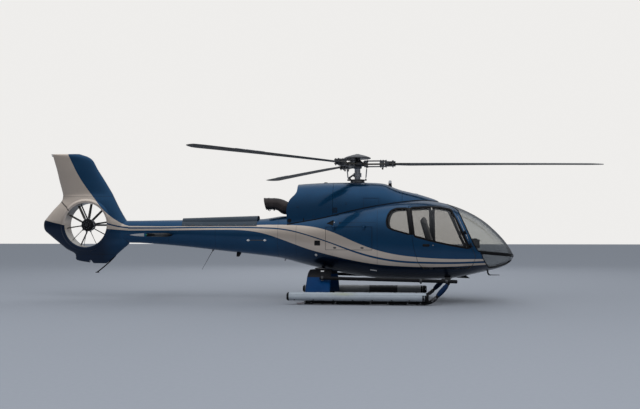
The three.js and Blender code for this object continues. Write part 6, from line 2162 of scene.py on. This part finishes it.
def add_cowl_parts():
    round_ones, long_ones, caps, slots, knobs, seams = [], [], [], [], [], []
    for side in (-1, 1):
        round_ones += [on_cowl(x, z, side) for x, z in ((765, 2128), (1013, 1752))]
        places = ((60, 1850), (640, 1800), (1560, 1900), (1800, 2150), (-300, 2060))
        long_ones += [on_cowl(x, z, side) for x, z in places]
        wedge = rounded([(-82, -6), (84, 64), (72, -66)], 22)
        scoop = without(slab(wedge, -4, 6), slab([(x * 0.86 + 3, z * 0.82) for x, z in wedge], 1, 8))
        caps += [moved(bevelled(scoop, 1), on_side(432, 1706, side)),
            moved(slab(oval(92, 92), -4, 1.2), on_cowl(-492, 1762, side)),
            moved(slab(oval(34, 34), -4, 1.5), on_side(648, 1704, side)),
            moved(slab(oval(26, 84), -4, 1.5), on_cowl(-165, 1775, side))]
        knobs.append(moved(turned([(0, -2), (10, -2), (10, 5), (7, 8), (0, 8)], 24),
            on_side(528, 1716, side)))
        seam = joined(*[slab([(a, b), (c, b), (c, d), (a, d)], -1, 0.8)
            for a, b, c, d in ((-165, -110, -161, 110), (161, -110, 165, 110), (-165, 106, 165, 110),
            (-165, -110, 165, -106))])
        seams.append(moved(seam, on_cowl(1310, 2135, side)))
        rim = without(tile(94, 104, 14, -3, 3), tile(76, 86, 10, -4, 5))
        slots.append(moved(rim, on_cowl(527, 1985, side)))
        for i in range(5):
            slat = moved(tile(78, 10, 0, -1, 1.5), shift((0, -34 + 17 * i, 0)) @ Matrix.Rotation(0.5, 4, "X"))
            slots.append(moved(slat, on_cowl(527, 1985, side)))
    rims, plates = zip(latches(round_ones, 46, 46), latches(long_ones))
    add_piece("cowl_latch_rims", rims, "black")
    add_piece("cowl_latches", plates, "plain")
    add_piece("side_intakes", caps, "black")
    add_piece("intake_drains", knobs, "plate", "machinery_metal")
    add_piece("cowl_hatch_seals", seams, "black")
    add_piece("cowl_grilles", slots, "black")


def add_hull_parts():
    vents, plates = [], []
    for side in (-1, 1):
        rim = without(tile(132, 106, 10, -3, 2.5), tile(112, 86, 6, -4, 4))
        vents += [moved(rim, on_side(155, 1275, side)),
            moved(tile(116, 90, 0, -3, 0.8), on_side(155, 1275, side))]
        for i in range(6):
            slat = moved(tile(112, 9, 0, -1, 1.2), shift((0, -36 + 14.4 * i, 0))
                @ Matrix.Rotation(0.6, 4, "X"))
            vents.append(moved(slat, on_side(155, 1275, side)))
        plates.append(moved(tile(146, 34, 6, -1, 2, 0.8), on_side(1364, 700, side)))
    add_piece("hull_vents", vents, "black")
    add_piece("hull_plates", plates, "plate")
    for word, side, _ in SIDES:
        rims, catches = latches([on_side(x, 1175, side) for x in (540, 1130)], 72, 38)
        add_piece(f"luggage_latch_rims_{word}", rims, "black", body=f"{word}_luggage_door")
        add_piece(f"luggage_latches_{word}", catches, "grey", "machinery_metal", body=f"{word}_luggage_door")
        pins, knuckles = [], []
        for along in (-330, 330):
            pin = rod((along - 36, -8, 1616), (along + 36, -8, 1616), 5)
            leaves = [block(along + x0, along + x1, -18, 3, 1608, 1657, 2)
                for x0, x1 in ((-36, -24.5), (24.5, 36))]
            pins.append(moved(joined(pin, *leaves), bay_matrix(side)))
            knuckle = band(5.4, 10, 24, 28, (along, -8, 1616), (along + 1, -8, 1616))
            leaf = block(along - 24, along + 24, -12, 2, 1561, 1608, 2)
            knuckles.append(moved(joined(knuckle, leaf), bay_matrix(side)))
        add_piece(f"luggage_hinge_pins_{word}", pins, "plain")
        add_piece(f"luggage_hinge_knuckles_{word}", knuckles, "plain", body=f"{word}_luggage_door")
    strips, marks = [], []
    for side in (-1, 1):
        strips.append(moved(tile(330, 20, 8, -3, 4, 2), on_boom(-1250, 1332, side)))
        mark = slab([(-44, 0), (0, -26), (44, 0), (0, 26)], -3, 2, 0.8)
        marks += [moved(mark, on_boom(x, 1332, side)) for x in (-1440, -1060)]
    add_piece("boom_strips", strips, "grey")
    add_piece("boom_marks", marks, "plate")
    stub = swept([(-640, 0, 912), (-650, 0, 890), (-660, 0, 872)], 12, 18, 3)
    add_piece("belly_drain", stub, "metal")
    rail = within(skin_shell(-6, 3), block(620, 1520, 0, FAR, 1678, 1702))
    add_piece("sliding_door_rail", bevelled(rail, 1.5), "black")
    cap = moved(joined(turned([(0, -3), (54, -3), (56, 2), (50, 5), (0, 5)], 40), tile(70, 14, 5, 4, 11)),
        on_side(60, 1500, 1))
    add_piece("fuel_cap", cap, "metal")
    wicks = []
    for side in (-1, 1):
        for y in (1330, 1180, 1030):
            wicks.append(swept([(-3778, side * y, 1450), (-3850, side * y, 1449), (-3925, side * y, 1446)],
                2.4, 8, 2))
    add_piece("static_wicks", wicks, "black")


def add_machinery():
    """Looks for the two heavy blocks inside the cowling, which stay as packed."""
    for name, look in (("engine", "metal"), ("main_gearbox", "grey")):
        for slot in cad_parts[name].material_slots:
            slot.material = LOOK[look]


class AddFittings(HelicopterOperator, bpy.types.Operator):
    """Adds the exhaust, lights, antennas, handles, latches, hinges and vents"""

    bl_idname = "helicopter.add_fittings"
    bl_label = "Fittings"

    def build(self, sizes, colours):
        add_exhaust()
        add_lights()
        add_antennas()
        add_doors()
        add_cowl_parts()
        add_hull_parts()
        add_machinery()


def add_dome():
    """A pale backdrop, and a dome of soft light that is brightest overhead."""
    world = bpy.data.worlds.new("studio")
    bpy.context.scene.world = world
    world.use_nodes = True
    nodes, links = world.node_tree.nodes, world.node_tree.links
    spot, axes = nodes.new("ShaderNodeTexCoord"), nodes.new("ShaderNodeSeparateXYZ")
    links.new(spot.outputs["Generated"], axes.inputs[0])
    ramp = nodes.new("ShaderNodeValToRGB")
    stops = ramp.color_ramp.elements
    stops[0].position, stops[0].color = 0.0, (0.10, 0.11, 0.125, 1)
    stops[1].position, stops[1].color = 0.85, (0.86, 0.90, 0.95, 1)
    middle = stops.new(0.22)
    middle.color = (0.24, 0.255, 0.28, 1)
    links.new(axes.outputs[2], ramp.inputs[0])
    dome, backdrop = nodes["Background"], nodes.new("ShaderNodeBackground")
    links.new(ramp.outputs[0], dome.inputs[0])
    backdrop.inputs[0].default_value = (0.86, 0.85, 0.835, 1)
    path, both = nodes.new("ShaderNodeLightPath"), nodes.new("ShaderNodeMixShader")
    links.new(path.outputs["Is Camera Ray"], both.inputs[0])
    links.new(dome.outputs[0], both.inputs[1])
    links.new(backdrop.outputs[0], both.inputs[2])
    links.new(both.outputs[0], nodes["World Output"].inputs[0])


class AddStage(HelicopterOperator, bpy.types.Operator):
    """Adds the floor, the lights and the camera"""

    bl_idname = "helicopter.add_stage"
    bl_label = "Stage"

    def build(self, sizes, colours):
        bm = bmesh.new()
        bmesh.ops.create_grid(bm, x_segments=1, y_segments=1, size=120)
        floor = new_object("floor", to_mesh(bm, "floor"))
        floor.data.materials.append(simple_paint("floor", colours.floor, colours.floor, gloss=0.8))
        bpy.context.scene.view_settings.view_transform = "Standard"
        add_dome()
        for name, place, aim, size, watts in (("key", (5, -15, 15), (0, 0, 1), 20, 2000),
                ("fill", (-15, -9, 10), (-2, 0, 1), 14, 500), ("back", (0, 15, 12), (0, 0, 1.5), 16, 900)):
            light = bpy.data.lights.new(name, "AREA")
            light.shape, light.size, light.energy = "DISK", size, watts
            lamp = new_object(name, light)
            lamp.location = place
            lamp.rotation_euler = (Vector(aim) - Vector(place)).to_track_quat("-Z", "Y").to_euler()
            lamp.visible_glossy = False
        camera = new_object("camera", bpy.data.cameras.new("camera"))
        camera.data.lens, camera.data.sensor_width = sizes.camera_lens, 36
        camera.data.clip_end = 400
        camera.location = (2.171, -18.356, 1.437)
        camera.rotation_euler = [radians(turn) for turn in (92.152, 0, 6.334)]
        bpy.context.scene.camera = camera


OPERATORS = (AddStage, AddCabin, AddBody, AddTail, AddRotor, AddTailFan, AddLandingGear, AddInterior,
             AddFittings)


class HelicopterPanel(bpy.types.Panel):
    """Lists the helicopter's operators and values in the sidebar"""

    bl_idname = "VIEW3D_PT_helicopter"
    bl_label = "Helicopter"
    bl_space_type = "VIEW_3D"
    bl_region_type = "UI"
    bl_category = "Helicopter"

    def draw(self, context):
        for values in (context.scene.helicopter_sizes, context.scene.helicopter_colours):
            for key in values.__annotations__:
                self.layout.prop(values, key)
        for operator in OPERATORS:
            self.layout.operator(operator.bl_idname)


CLASSES = (HelicopterSizes, HelicopterColours, *OPERATORS, HelicopterPanel)


def register():
    for item in CLASSES:
        bpy.utils.register_class(item)
    bpy.types.Scene.helicopter_sizes = bpy.props.PointerProperty(type=HelicopterSizes)
    bpy.types.Scene.helicopter_colours = bpy.props.PointerProperty(type=HelicopterColours)


def unregister():
    del bpy.types.Scene.helicopter_colours
    del bpy.types.Scene.helicopter_sizes
    for item in reversed(CLASSES):
        bpy.utils.unregister_class(item)


def main():
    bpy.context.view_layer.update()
    register()
    bpy.ops.helicopter.add_stage()
    bpy.ops.helicopter.add_cabin()
    bpy.ops.helicopter.add_body()
    bpy.ops.helicopter.add_tail()
    bpy.ops.helicopter.add_rotor()
    bpy.ops.helicopter.add_tail_fan()
    bpy.ops.helicopter.add_landing_gear()
    bpy.ops.helicopter.add_interior()
    bpy.ops.helicopter.add_fittings()


if __name__ == "__main__":
    main()
